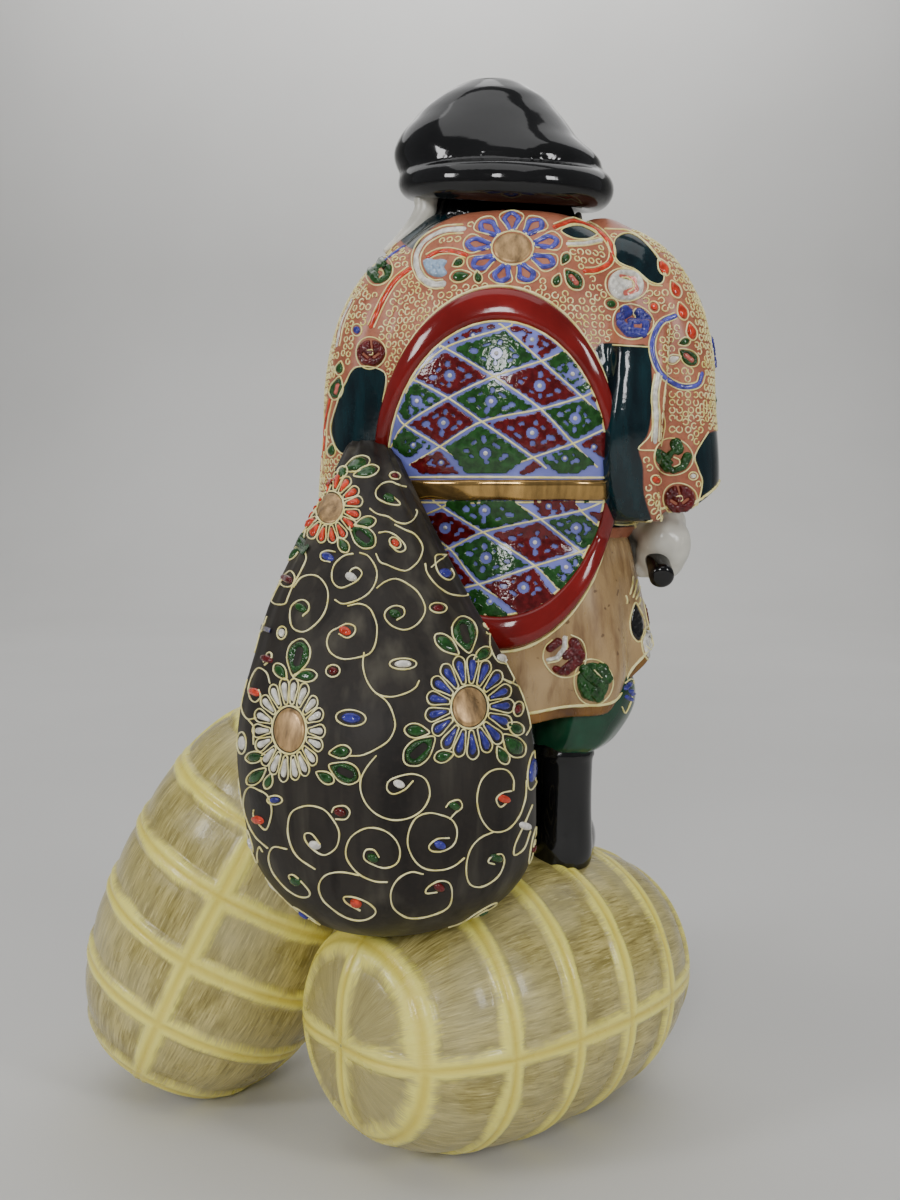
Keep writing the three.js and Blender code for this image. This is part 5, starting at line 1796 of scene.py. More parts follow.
UP_LINES = [
    [(398, 386), "n7", "n4", "n1", (512, 324)],
    [(390, 447), "m6", "n8", "n5", "n2", (566, 350)],
    [(410, 465), "m5", "m2", "n6", "n3", (600, 386)],
    [(494, 472), "m4", "m3", (605, 429)],
    [(396, 532), "a1", "k1", (462, 494)],
    [(394, 572), "p8", "k8", "k2", "k3", "k4", (607, 500)],
    [(414, 610), "p7", "k7", "k5", "k6", (605, 547)],
]
CELLS = [
    ("green", "n4", "n1", "n2", "n5"),
    ("darkred", "n7", "n4", "n5", "n8"),
    ("darkred", "n5", "n2", "n3", "n6"),
    ("green", "n5", "n6", "m2", "n8"),
    ("darkred", "m6", "n8", "m2", "m5"),
    ("darkred", "n6", "m3", "m4", "m2"),
    ("green", "m2", "m4", (497, 470), (476, 470), "m5"),
    ("green", "m4", "m3", (592, 463), (560, 469)),
    ("green", "n3", (604, 424), "m3", "n6"),
    ("green", "n7", "n8", "m6", (395, 396)),
    ("green", "m6", "m5", (414, 462), (396, 446)),
    ("darkred", "n4", "n1", (500, 325), (468, 331), (448, 345)),
    ("darkred", "n1", "n2", (564, 351), (540, 334), (510, 325)),
    ("green", "n7", "n4", (434, 347), (410, 368)),
    ("green", "n2", "n3", (597, 388), (582, 366), (566, 352)),
    ("darkred", "n3", (602, 391), (609, 410), (606, 424)),
    ("darkred", "m3", (600, 430), (605, 450), (596, 464)),
    ("darkred", "m5", (474, 468), (438, 471), (414, 464)),
    ("darkred", "m4", (543, 467), (516, 470), (499, 470)),
    ("darkred", "k1", (456, 496), (444, 496), (431, 497)),
    ("green", "k1", (458, 496), (500, 496), "k3", "k2"),
    ("darkred", "k3", (506, 497), (567, 497), "k4"),
    ("green", "k4", (572, 497), (604, 500)),
    ("darkred", "k1", "k2", "k8", "a1"),
    ("darkred", "k2", "k3", "k6", "k5"),
    ("green", "k3", "k4", (603, 530), "k6"),
    ("darkred", "k4", (606, 503), (610, 518), (605, 530)),
    ("green", "k2", "k5", "k7", "k8"),
    ("green", "k5", "k6", (592, 564), (560, 591)),
    ("darkred", "k6", (603, 549), (600, 560), (594, 564)),
    ("darkred", "k7", "k5", (557, 591), (523, 609)),
    ("green", "k7", (520, 610), (492, 612), (470, 600)),
    ("darkred", "k8", "k7", "p7", "p8"),
    ("green", "a1", "k8", "p8", (396, 544)),
    ("green", "p7", "k7", (490, 604), (464, 616)),
]
FIELD_MIDDLE, FIELD_REACH = (500.0, 471.0), (110.5, 147.5)


def within_field(points, share=0.985):
    """Draws points that lie beyond the field's oval in to it."""
    p = np.asarray(points, float)
    d = (p - FIELD_MIDDLE) / FIELD_REACH
    r = np.linalg.norm(d, axis=1, keepdims=True)
    return FIELD_MIDDLE + d / np.maximum(r / share, 1) * FIELD_REACH


def node_points(names):
    return np.array([NODES[n] if isinstance(n, str) else n for n in names], float)


BELT_ROW, BELT_TOP, BELT_FOOT = 484.0, 475.5, 498.0


def field_room(points):
    """Distance in pixels to the field's rim or to the belt across it."""
    d = points - FIELD_MIDDLE
    share = np.maximum(np.linalg.norm(d / FIELD_REACH, axis=1), 1e-6)
    rim = np.linalg.norm(d, axis=1) * (1 / share - 1)
    return np.minimum(rim, np.maximum(BELT_TOP - points[:, 1], points[:, 1] - BELT_FOOT))


def cell_corners(names):
    """A cell's corners; those at the rim or the belt are drawn out past it."""
    out = []
    for name in names:
        if isinstance(name, str):
            out.append(NODES[name])
            continue
        x, y = FIELD_MIDDLE + (np.array(name) - FIELD_MIDDLE) * 1.1
        out.append((x, BELT_ROW if abs(name[1] - BELT_ROW) < 17 else y))
    return np.array(out, float)


def draw_lattice(kit, place):
    """Cream lines with a thick, pierced drop of green or dark red in each cell."""
    for line in DOWN_LINES + UP_LINES:
        kit["cream"].thread(place, within_field(node_points(line), 1.0), 0.6, 0.45)
    for colour, *corners in CELLS:
        cell = within_field(node_points(corners), 1.0)
        middle = cell.mean(axis=0)
        size = np.sqrt(np.prod(np.ptp(cell, axis=0)))
        cuts = []
        if size > 27:
            cuts.append((*middle, *middle, 6.6 if size > 42 else 4.0))
            for p, q in zip(cell, np.roll(cell, -1, axis=0)):
                reach = np.linalg.norm(p - middle)
                if reach > 22:
                    a, b = middle + (p - middle) * 0.4, middle + (p - middle) * random.uniform(0.43, 0.5)
                    cuts.append((*a, *b, random.uniform(2.5, 3.5)))
                if size > 38:
                    a = middle + ((p + q) / 2 - middle) * 0.52 + (q - p) * random.uniform(-0.1, 0.0)
                    b = a + (q - p) * random.uniform(0.02, 0.1)
                    cuts.append((*a, *b, random.uniform(1.6, 2.5)))
        corners = cell_corners(corners)
        kit[colour].drop(place, corners, cuts=cuts, height=1.05, shoulder=3.0, inset=3.7, rough=1.25, room=field_room)
        if size > 27:
            kit["white"].bead(place, middle, 0.66 if size > 42 else 0.5, 0.75)


# ---- The robe as the photograph shows it
TEAL_SEEN = [
    [(600, 344), (630, 345), (648, 347), (652, 375), (652, 407), (648, 434), (639, 449), (643, 466),
     (644, 494), (652, 524), (640, 526), (600, 526), (592, 500), (590, 430), (594, 365)],
    [(616, 238), (628, 233), (640, 238), (652, 250), (660, 262), (664, 277), (660, 284), (649, 281),
     (636, 270), (618.5, 262), (614, 250)],
    [(561, 231), (570, 226), (584, 226), (597, 233), (588, 239), (572, 238)],
    [(707, 434), (724, 436), (732, 480), (702, 509), (698, 505), (702, 483), (698, 469), (695, 455)],
    [(415, 249), (403, 243), (400, 232), (424, 214), (440, 205), (457, 209), (452, 217), (436, 225), (424, 236)],
    [(357, 367), (385, 373), (383, 404), (380, 439), (360, 448), (341, 453), (331, 431), (337, 404),
     (345, 384)],
]
TEAL_FRONT = [
    [(58, 192), (80, 192), (80, 228), (67, 222), (62, 210)],
    [(12, 250), (26, 268), (36, 250), (33, 226), (22, 214), (12, 218)],
    [(-44, 246), (-32, 258), (-24, 242), (-28, 222), (-40, 214), (-48, 226)],
]
CHRYSANTHEMUM = {"centre": (512.5, 248), "disc": (20.9, 16.8), "outer": (50, 38), "petals": 9}


def draw_hems(kit, skin, hems):
    """A thread round each sleeve's hem, just above its edge."""
    for hem in hems:
        middle = hem.mean(axis=0)
        out = unit((hem - middle) * (1, 1, 0))
        kit["cream"].lay(skin, hem + out * 1.5 + np.array([0, 0, 1.1]), 0.95, 0.5, closed=True)


SKIRT_GOLD = [(630, 594, 633, 577), (633, 597, 637, 580), (636, 599, 640, 586), (627, 603, 626, 596), (639, 604, 640, 598)]


def draw_skirt(kit, place, skin):
    """The hem's line and the motifs at the back, in the photograph's pixels."""
    outer, _ = skirt_rings()
    kit["cream"].lay(skin, outer[0] + (0, 0, 3.1), 1.0, 0.5, closed=True)
    kit["cream"].thread(place, [(571, 635), (582, 641), (586, 655), (583, 668), (573, 676), (561, 677), (550, 671),
                                (543, 659), (545, 647), (552, 640)])
    red = [(550, 648, 558, 642, 4.2), (574, 643, 580, 655, 5.5), (578, 660, 566, 670, 5.5), (556, 669, 562, 672, 3.6),
           (566, 655, 575, 650, 5)]
    kit["darkred"].drop(place, strokes=red, height=0.85, shoulder=2.6)
    kit["white"].drop(place, strokes=[(565, 638, 564, 649, 2.4), (564, 649, 557, 658, 2.4), (557, 658, 548, 660, 1.8)], height=1.0)
    kit["cream"].thread(place, [(567, 637), (566, 650), (559, 660), (548, 663)], 0.55)
    kit["cream"].thread(place, ring_points(593, 682, 19.5, 23, -0.1, 18, 0.02, 3), closed=True)
    lumps = [(585, 670, 590, 676, 6), (602, 669, 606, 678, 6.5), (583, 686, 586, 694, 5), (596, 692, 598, 696, 6.5), (594, 680, 600, 684, 5.5)]
    kit["green"].drop(place, ring_points(593, 682, 16, 19.5, -0.1, 16), height=0.45, shoulder=2.6)
    kit["green"].drop(place, strokes=lumps, height=1.1, shoulder=3.4)
    kit["cream"].thread(place, [(594, 670), (601, 677)], 0.5, 0.9)
    kit["ink"].drop(place, leaf_points(637, 622, 36, 13, 85), height=0.4)
    kit["cream"].thread(place, leaf_points(637, 622, 39, 16, 85), closed=True)
    for x0, y0, x1, y1 in SKIRT_GOLD:
        kit["cream"].thread(place, [(x0, y0), ((x0 + x1) / 2 + 0.6, (y0 + y1) / 2), (x1, y1)], 0.7, 0.4)
    kit["white"].drop(place, ring_points(650, 644, 6.5, 15, -0.1, 14), height=0.5)
    kit["cream"].thread(place, ring_points(650, 644, 8.5, 17.5, -0.1, 16), closed=True)
    kit["cream"].thread(place, [(649, 634), (653, 641), (650, 650), (645, 646)], 0.5, 0.8)


def dress_hidden_skirt(kit, skin):
    """Round flowers and leaves on the front and sides of the skirt."""
    kinds = ["darkred", "green", "leaf", "white", "blue", "leaf"]
    for k, turn in enumerate(np.linspace(14, 200, 9)):
        a = math.radians(turn)
        at = np.array([BODY_X + 46 * math.cos(a), BODY_Y + 39 * math.sin(a), 163 + 7 * math.sin(k * 2.4)])
        spot = Spot(skin, at, 0.4 * math.sin(k))
        kind = kinds[k % len(kinds)]
        if kind == "leaf":
            leaf(kit, spot, 0, 0, 40, 22, 85, "pink")
        else:
            peony(kit, spot, (0, 0), (44, 42), kind, 0.3 * k)


def draw_trousers(kit, skin):
    """A small blue flower near the hem and two fine creases."""
    place = Photo(skin)
    blue = [(626, 688, 630, 684, 2.4), (627, 697, 632, 700, 2.2), (631, 691, 633, 694, 2.2)]
    kit["blue"].drop(place, strokes=blue, height=0.7, shoulder=2)
    for line in ([(622, 707), (625, 713), (629, 706), (632, 697)], [(625, 683), (631, 679), (636, 683)]):
        kit["cream"].thread(place, line, 0.5)


def draw_robe(kit, place):
    """The motifs on the back of the robe and the sleeves, in the photograph's pixels."""
    c = CHRYSANTHEMUM
    daisy(kit, place, c["centre"], c["disc"], c["outer"], c["petals"], "violet", 0.0, math.radians(-92), True)
    band(kit, place, [(463, 229), (443, 231), (424, 242), (416, 259), (421, 276), (432, 284), (443, 284)], 7.5, "white")
    band(kit, place, [(428, 257), (438, 252), (452, 251), (466, 255)], 5, "orange")
    fan = [(423, 262), (429, 258), (435, 260), (441, 259), (447, 261), (444, 267), (447, 273), (441, 277), (433, 276),
           (427, 272)]
    kit["paleblue"].drop(place, fan, height=0.9, shoulder=3.5)
    leaf(kit, place, 458, 263, 13, 9, -30)
    leaf(kit, place, 461, 276, 22, 13, 170)
    leaf(kit, place, 478, 277, 13, 9, 80)
    leaf(kit, place, 565, 259, 14, 10, -60)
    leaf(kit, place, 573, 279, 26, 17, 50, "pink")
    leaf(kit, place, 557, 280, 14, 10, 110)
    band(kit, place, [(555, 227), (575, 221), (597, 230), (611, 246), (610, 262), (597, 270), (585, 271)], 5.5, "orange")
    band(kit, place, [(568, 244), (586, 243), (601, 240)], 4.5, "white")
    scroll(kit, place, [(605, 229), (629, 231), (645, 242), (658, 257), (666, 276)])
    scroll(kit, place, [(605, 236), (616, 262), (636, 272), (650, 284), (662, 286)])
    peony(kit, place, (626, 285), (43, 33), "white", 0.1, "pink")
    seed(kit, place, (611, 304), (14, 11), "green", 20)
    seed(kit, place, (654, 307), (12, 10), "orange", 60)
    peony(kit, place, (632.6, 322), (41, 35), "blue", 0.2)
    band(kit, place, [(675, 316), (660, 324), (652, 346), (660, 372), (679, 386), (697, 385), (702, 374)], 5.5, "violet")
    for p, turn in (((663, 267), 60), ((675, 289), 65), ((682, 311), 70), ((691, 331), 75)):
        leaf_edge = leaf_points(p[0], p[1], 19, 11, turn)
        filled(kit, place, leaf_edge, "orange")
    leaf(kit, place, 684, 342, 13, 9, -20)
    leaf(kit, place, 688, 357, 24, 16, 40, "pink")
    filled(kit, place, leaf_points(674, 359, 15, 10, 160), "white")
    band(kit, place, [(658, 375), (655, 395), (656, 418), (655, 441)], 6, "white")
    scroll(kit, place, [(666, 377), (663, 407), (665, 425), (661, 446)])
    peony(kit, place, (673, 457), (39, 37), "green", 0.3)
    seed(kit, place, (656, 480), (11, 9), "orange", 40)
    seed(kit, place, (693, 476), (9, 8), "white", 0)
    peony(kit, place, (679.5, 499), (34, 32), "darkred", 0.0)
    peony(kit, place, (379, 270), (27, 31), "green", 0.2)
    band(kit, place, [(410, 269), (396, 280), (384, 298), (371, 326)], 5.5, "orange")
    peony(kit, place, (371, 353), (30, 32), "darkred", 0.1)
    leaf(kit, place, 340, 368, 14, 9, 100)
    leaf(kit, place, 337, 388, 24, 14, 105, "pink")
    leaf(kit, place, 332, 450, 14, 9, 100)
    band(kit, place, [(352, 300), (342, 322), (337, 345)], 5, "white")
    band(kit, place, [(330, 400), (325, 425), (324, 448), (320, 470)], 4.5, "orange")
    seed(kit, place, (357, 330), (10, 12), "blue", 0)
    for outline in TEAL_SEEN[1:3] + TEAL_SEEN[5:]:
        kit["cream"].thread(place, outline, closed=True)
    kit["cream"].thread(place, [(613, 345), (630, 346), (649, 347)])
    kit["cream"].thread(place, [(615, 524), (625, 524.5), (638, 523), (652, 520)])
    kit["cream"].thread(place, [(657, 373), (653, 385), (651.5, 400), (653, 425), (648, 438), (638.5, 449), (655, 450.5)])
    kit["violet"].thread(place, [(404, 247), (396, 252), (387, 259), (378, 267)], 1.3, 0.6)
    kit["cream"].thread(place, [(708, 432), (695, 455), (698, 469), (702, 483), (697, 506)])


# ---- The sack as the photograph shows it
SACK_FLOWERS = [
    ((330, 508), (13.7, 16.8), (32, 37), 16, "orange", 0.25),
    ((289.4, 730), (17, 24), (36, 52), 18, "white", 0.0),
    ((469.4, 707), (18.5, 21.7), (44, 52), 17, "blue", 0.0),
]
# Leaves: centre, length and width in pixels, heading in degrees; the large ones are hollow
SACK_LEAVES = [
    (356, 465, 29, 15, -23), (366, 472, 26, 12, -17), (342, 473, 14, 10, -60),
    (365, 523, 22, 12, -15), (362, 536, 31, 21, 40), (343, 545, 17, 11, 60),
    (297, 540, 28, 12, 128), (293, 553, 20, 9, 140),
    (298, 658, 38, 24, -77), (281, 672, 19, 12, -126), (305, 676, 24, 13, -4),
    (340, 752, 22, 14, -6), (344, 772, 33, 22, 25), (325, 777, 20, 12, 30),
    (256, 757, 20, 12, 170), (257, 776, 24, 13, 140), (269, 781, 16, 9, 110),
    (465, 635, 37, 26, -103), (447, 645, 30, 15, -140), (482, 655, 21, 13, -37),
    (417, 731, 25, 15, -173), (420, 750, 39, 25, 138), (444, 756, 20, 13, 165),
    (515, 728, 18, 13, 30), (513, 745, 29, 20, 46), (502, 755, 20, 12, 60),
]
LARGE_LEAF = 20  # a wider leaf than this, in pixels, is hollow


SCROLLS = [
    [(406, 487), (398, 485), (391, 482), (382, 484), (376, 491), (377, 498), (385, 503), (393, 505),
     (400, 505), (398, 501), (391, 496), (385, 495)],
    [(370, 509), (377, 514), (388, 517), (396, 522), (405, 524), (413, 520), (417, 513), (416, 510)],
    [(395, 525), (405, 530), (415, 535), (422, 546), (421, 556), (415, 565), (404, 571), (387, 565),
     (380, 562), (376, 554)],
    [(335, 600), (343, 604), (356, 601), (368, 594), (375, 584), (377, 573), (374, 564), (368, 556),
     (360, 553)],
    [(353, 554), (344, 556), (335, 564), (332, 573), (333, 582), (340, 588), (350, 585), (358, 580),
     (362, 573), (357, 568), (351, 570), (349, 575)],
    [(294, 587), (301, 578), (311, 575), (320, 578), (327, 588), (328, 600), (324, 614), (314, 626),
     (303, 632), (293, 628), (290, 617), (292, 606), (301, 600), (308, 603), (309, 610), (303, 616)],
    [(305, 551), (306, 560), (299, 575), (293, 586), (288, 598), (285, 604), (275, 604), (269, 597),
     (271, 586), (277, 570)],
    [(278, 573), (281, 584), (287, 587), (293, 585), (295, 577), (291, 571), (286, 574)],
    [(348, 606), (360, 604), (370, 609), (376, 622), (377, 632), (375, 645), (369, 654), (356, 658),
     (342, 659), (331, 653), (327, 643), (330, 633), (338, 628), (347, 624), (355, 627), (354, 634),
     (347, 638), (339, 634)],
    [(377, 588), (385, 582), (396, 579), (409, 585), (419, 594), (425, 607), (423, 617), (415, 626),
     (404, 630), (392, 626), (385, 618), (386, 611), (394, 606), (403, 608), (404, 615), (397, 620)],
    [(379, 533), (387, 532), (396, 536), (404, 544), (405, 550), (398, 552), (390, 545)],
    [(335, 552), (327, 551), (321, 554), (322, 560), (330, 562)],
    [(449, 555), (437, 555), (435, 560), (437, 571), (443, 578), (450, 580), (454, 575), (451, 569)],
    [(425, 564), (427, 573), (435, 584), (447, 593), (460, 596), (469, 595), (473, 591)],
    [(267, 617), (263, 628), (255, 643), (250, 651)],
    [(264, 662), (268, 653), (272, 654), (271, 660), (265, 665)],
    [(256, 718), (248, 719), (243, 712), (241, 699), (244, 679)],
    [(270, 683), (267, 673), (259, 668), (253, 675), (249, 688), (251, 699), (256, 702), (261, 697),
     (259, 690)],
    [(248, 719), (254, 727), (254, 738), (254, 744)],
    [(364, 653), (363, 666), (367, 681), (376, 693), (389, 697), (404, 694), (415, 688), (419, 681)],
    [(376, 693), (387, 702), (393, 714), (395, 727), (389, 740), (378, 748), (363, 755), (350, 756)],
    [(376, 756), (367, 767), (361, 779), (361, 792), (367, 805), (378, 815), (393, 820), (409, 818),
     (422, 810), (429, 798), (429, 787), (424, 778), (413, 774), (400, 776), (389, 781), (387, 789),
     (393, 794), (404, 790), (413, 781)],
    [(268, 848), (256, 837), (248, 822), (244, 807), (245, 794), (250, 787), (259, 790), (268, 796),
     (272, 811), (267, 829), (260, 825), (254, 816), (254, 810)],
    [(315, 869), (298, 857), (290, 842), (288, 826), (292, 812), (305, 806), (318, 807), (328, 813),
     (338, 828), (339, 839), (335, 849), (324, 855), (313, 849), (306, 841), (305, 834), (312, 834),
     (320, 844)],
    [(336, 819), (346, 819), (350, 812), (345, 806), (335, 807), (332, 812)],
    [(387, 882), (374, 881), (359, 874), (348, 861), (346, 849), (352, 836), (367, 828), (383, 830),
     (395, 839), (400, 851), (397, 863), (385, 868), (372, 864), (364, 858), (366, 850), (374, 850),
     (379, 857)],
    [(464, 858), (454, 866), (441, 870), (426, 869), (415, 861), (408, 846), (409, 831), (416, 818),
     (428, 813), (441, 815), (452, 820), (457, 831), (454, 844), (443, 851), (432, 851), (429, 846),
     (437, 839), (449, 838)],
    [(450, 819), (455, 813), (462, 807), (459, 800), (450, 802), (446, 807)],
    [(513, 790), (513, 779), (506, 770), (493, 770), (482, 779), (477, 796), (479, 813), (486, 826),
     (495, 832), (508, 829), (519, 816), (525, 798), (526, 781)],
    [(511, 791), (502, 793), (496, 799), (500, 807), (507, 802)],
    [(493, 832), (480, 838), (470, 850), (466, 868), (469, 883), (479, 887), (491, 882), (500, 873),
     (504, 861), (501, 854), (491, 857), (488, 862), (494, 864)],
    [(359, 875), (341, 872), (326, 875), (319, 885), (322, 898), (333, 909), (348, 918), (363, 920),
     (374, 915), (375, 909), (367, 902), (354, 897), (344, 897), (347, 903), (360, 910)],
    [(423, 874), (411, 872), (398, 879), (391, 892), (393, 907), (404, 916), (415, 918), (432, 915),
     (448, 907), (452, 894), (449, 883), (439, 881), (428, 887), (426, 893), (437, 892)],
    [(287, 849), (274, 847), (269, 856), (272, 870), (283, 885), (296, 895), (307, 897), (310, 892),
     (302, 882), (294, 875), (289, 876), (295, 885)],
    [(502, 679), (512, 683), (524, 692), (532, 712), (530, 727), (526, 735)],
    [(532, 805), (524, 824), (515, 844), (514, 855), (524, 848), (530, 831)],
    [(490, 630), (490, 647), (497, 661), (506, 664)],
    [(512, 657), (515, 672), (512, 683), (504, 680)],
]
SEEDS = [
    ((395, 543), (13, 9), "orange", 40), ((438, 608), (17, 10), "darkred", 5),
    ((403, 664), (27, 11), "white", 0), ((333, 671), (14, 12), "darkred", -10),
    ((351, 718), (30, 16), "blue", 5), ((275, 800), (15, 9), "blue", 0),
    ((518, 709), (10, 15), "darkred", 10), ((533, 770), (11, 40), "blue", 8),
    ((395, 476), (11, 7), "darkred", 10), ((488, 625), (10, 7), "orange", 20),
    ((282, 633), (9, 13), "white", 10), ((242, 743), (9, 22), "white", 0),
    ((260, 627), (7, 10), "blue", 0),
]
DOTS = [
    (389, 498, "green"), (328, 557, "blue"), (351, 577, "white"), (301, 608, "green"),
    (287, 579, "darkred"), (345, 631, "orange"), (395, 614, "green"), (445, 573, "blue"),
    (267, 659, "darkred"), (255, 692, "orange"), (399, 784, "white"), (258, 820, "orange"),
    (315, 845, "white"), (340, 812, "darkred"), (373, 858, "green"), (440, 845, "blue"),
    (454, 806, "green"), (504, 799, "orange"), (496, 858, "green"), (356, 903, "orange"),
    (439, 887, "darkred"), (296, 881, "green"), (503, 658, "white"), (525, 826, "white"),
]


def draw_sack(kit, place):
    for centre, disc, outer, petals, colour, turn in SACK_FLOWERS:
        daisy(kit, place, centre, disc, outer, petals, colour, turn)
    for x, y, long, wide, heading in SACK_LEAVES:
        leaf(kit, place, x, y, long, wide, heading, "hollow" if wide > LARGE_LEAF else None)
    for points in SCROLLS:
        scroll(kit, place, points)
    for centre, size, colour, turn in SEEDS:
        seed(kit, place, centre, size, colour, turn)
    for x, y, colour in DOTS:
        kit[colour].pad(place, ring_points(x, y, 6.6, 4.2, 0.4, 10), 0.9, sides=16, rows=5)


# ---- The sides that the photograph doesn't show, in the same manner
def spread(verts, allowed, spacing, seed_number, order=None):
    """Vertices of a surface that keep a distance from each other."""
    ids = np.flatnonzero(allowed)
    rng = np.random.default_rng(seed_number)
    rng.shuffle(ids)
    if order is not None:
        ids = ids[np.argsort(order[ids], kind="stable")]
    cells, kept = {}, []
    for i in ids:
        p = verts[i]
        key = tuple(int(c) for c in np.floor(p / spacing))
        near = False
        for dx in (-1, 0, 1):
            for dy in (-1, 0, 1):
                for dz in (-1, 0, 1):
                    for q in cells.get((key[0] + dx, key[1] + dy, key[2] + dz), ()):
                        if (p[0] - q[0]) ** 2 + (p[1] - q[1]) ** 2 + (p[2] - q[2]) ** 2 < spacing**2:
                            near = True
        if not near:
            cells.setdefault(key, []).append(p)
            kept.append(i)
    return kept


def nearest_taken(taken):
    tree = KDTree(len(taken))
    for i, (p, _) in enumerate(taken):
        tree.insert(p, i)
    tree.balance()
    return tree


def clear_of(tree, taken, point, room):
    for _, index, distance in tree.find_n(point, 6):
        if distance < room + taken[index][1]:
            return False
    return True


def hidden_from_photo(skin, margin=0.12):
    """Vertices whose surface turns away from the camera."""
    away = unit(skin.verts - EYE)
    return (skin.normals * away).sum(axis=1) > -margin


def dress_hidden_sack(kit, skin):
    hidden = hidden_from_photo(skin) & (skin.verts[:, 2] > 84) & (skin.verts[:, 2] < 212)
    taken = nearest_taken(kit.taken)
    flowers = [(-2, -38, 128), (-66, -36, 150), (-30, -18, 150), (-48, -22, 112)]
    for k, at in enumerate(flowers):
        spot = Spot(skin, at, 0.2 * k)
        if not clear_of(taken, kit.taken, spot.base, 13):
            continue
        colour = ("white", "orange", "blue", "white")[k]
        daisy(kit, spot, (0, 0), (15, 17), (36, 40), 16, colour)
        for heading in (-90, 30, 150):
            a = math.radians(heading)
            for turn, size in ((-28, 0), (0, 1), (28, 0)):
                b = a + math.radians(turn)
                reach = 52 if size else 47
                long, wide = (26, 17) if size else (20, 12)
                leaf(kit, spot, reach * math.cos(b), reach * math.sin(b), long, wide, math.degrees(b))
    taken = nearest_taken(kit.taken)
    free = hidden.copy()
    places = spread(skin.verts, free, 13.5, 11)
    colours = ["green", "orange", "blue", "white", "darkred"]
    for k, i in enumerate(places):
        if not clear_of(taken, kit.taken, skin.verts[i], 7.0):
            continue
        spot = Spot(skin, skin.verts[i], random.random() * 6.28)
        hand = random.choice((-1, 1))
        points = curl_points(20 + random.random() * 3, 1.35, 0, hand)
        tail = np.array([(34, -10 * hand), (28, -12 * hand)])
        kit["cream"].thread(spot, np.vstack([tail, points]))
        kit[colours[k % 5]].pad(spot, ring_points(0, 0, 6.4, 4.2, 0.4, 10), 0.9, sides=16, rows=5)


def dress_hidden_robe(kit, skin, teal, blocked):
    """Peonies, leaves and ribbons on the front and sides of the robe."""
    verts, normals = skin.verts, skin.normals
    low = (verts[:, 2] > 206) | (np.abs(verts[:, 0] - BODY_X) > 40)
    allowed = hidden_from_photo(skin, -0.05) & (teal < -7) & low & ~blocked
    taken = nearest_taken(kit.taken)
    places = spread(verts, allowed, 17, 23)
    kinds = ["white", "leaf", "blue", "ribbon", "green", "leaf", "darkred", "ribbon"]
    k = 0
    for i in places:
        if not clear_of(taken, kit.taken, verts[i], 7.5):
            continue
        spot = Spot(skin, verts[i], random.random() * 6.28)
        kind = kinds[k % len(kinds)]
        k += 1
        if kind == "leaf":
            leaf(kit, spot, 0, -2, 26, 17, 0, "pink")
            leaf(kit, spot, -9, 13, 14, 9, 120)
            leaf(kit, spot, -9, -16, 14, 9, -120)
        elif kind == "ribbon":
            colour = "orange" if k % 3 else "violet"
            band(kit, spot, [(-24, 10), (-10, -6), (8, -9), (20, 2), (18, 14)], 5.5, colour)
            seed(kit, spot, (0, 10), (12, 10), "white" if k % 2 else "green", 20)
        else:
            peony(kit, spot, (0, 0), (40, 36), kind, 0)


def robe_loops(name, kit, skin, allowed, look):
    """Rows of tiny cream loops over what is left of the ground."""
    taken = nearest_taken(kit.taken)
    rows = np.round(skin.verts[:, 2] / 2.25) * 100 + np.arctan2(
        skin.verts[:, 1] - 2, skin.verts[:, 0] - BODY_X
    )
    places = spread(skin.verts, allowed, 2.08, 31, rows)
    keep = [i for i in places if clear_of(taken, kit.taken, skin.verts[i], 1.05)]
    p, n = skin.verts[keep], skin.normals[keep]
    rng = np.random.default_rng(17)
    east = unit(np.cross((0, 0, 1.0), n))
    north = np.cross(n, east)
    start = rng.uniform(0, 2 * np.pi, len(keep))
    sweep = rng.uniform(4.9, 6.1, len(keep))
    radius = rng.uniform(0.82, 0.98, len(keep))
    steps, section = 12, 4
    t = start[:, None] + sweep[:, None] * np.linspace(0, 1, steps)
    out = np.cos(t)[..., None] * east[:, None] + np.sin(t)[..., None] * north[:, None]
    angle = np.radians([0, 62, 118, 180])
    across, rise = 0.25 * np.cos(angle), 0.36 * np.maximum(np.sin(angle), 0) - 0.03
    rings = (
        p[:, None, None]
        + out[:, :, None] * (radius[:, None, None] + across[None, None, :])[..., None]
        + n[:, None, None] * rise[None, None, :, None]
    )
    count = steps * section
    i, j = np.meshgrid(np.arange(steps - 1), np.arange(section), indexing="ij")
    k = (j + 1) % section
    quads = np.stack([i * section + j, (i + 1) * section + j, (i + 1) * section + k, i * section + k], axis=-1)
    quads = quads.reshape(-1, 4)
    ends = np.array([[0, 1, 2, 3], [count - 1, count - 2, count - 3, count - 4]])
    quads = np.vstack([quads, ends])
    faces = (quads[None] + (np.arange(len(keep)) * count)[:, None, None]).reshape(-1, 4)
    return piece(name, rings.reshape(-1, 3), faces.tolist(), look, "robe_enamel")


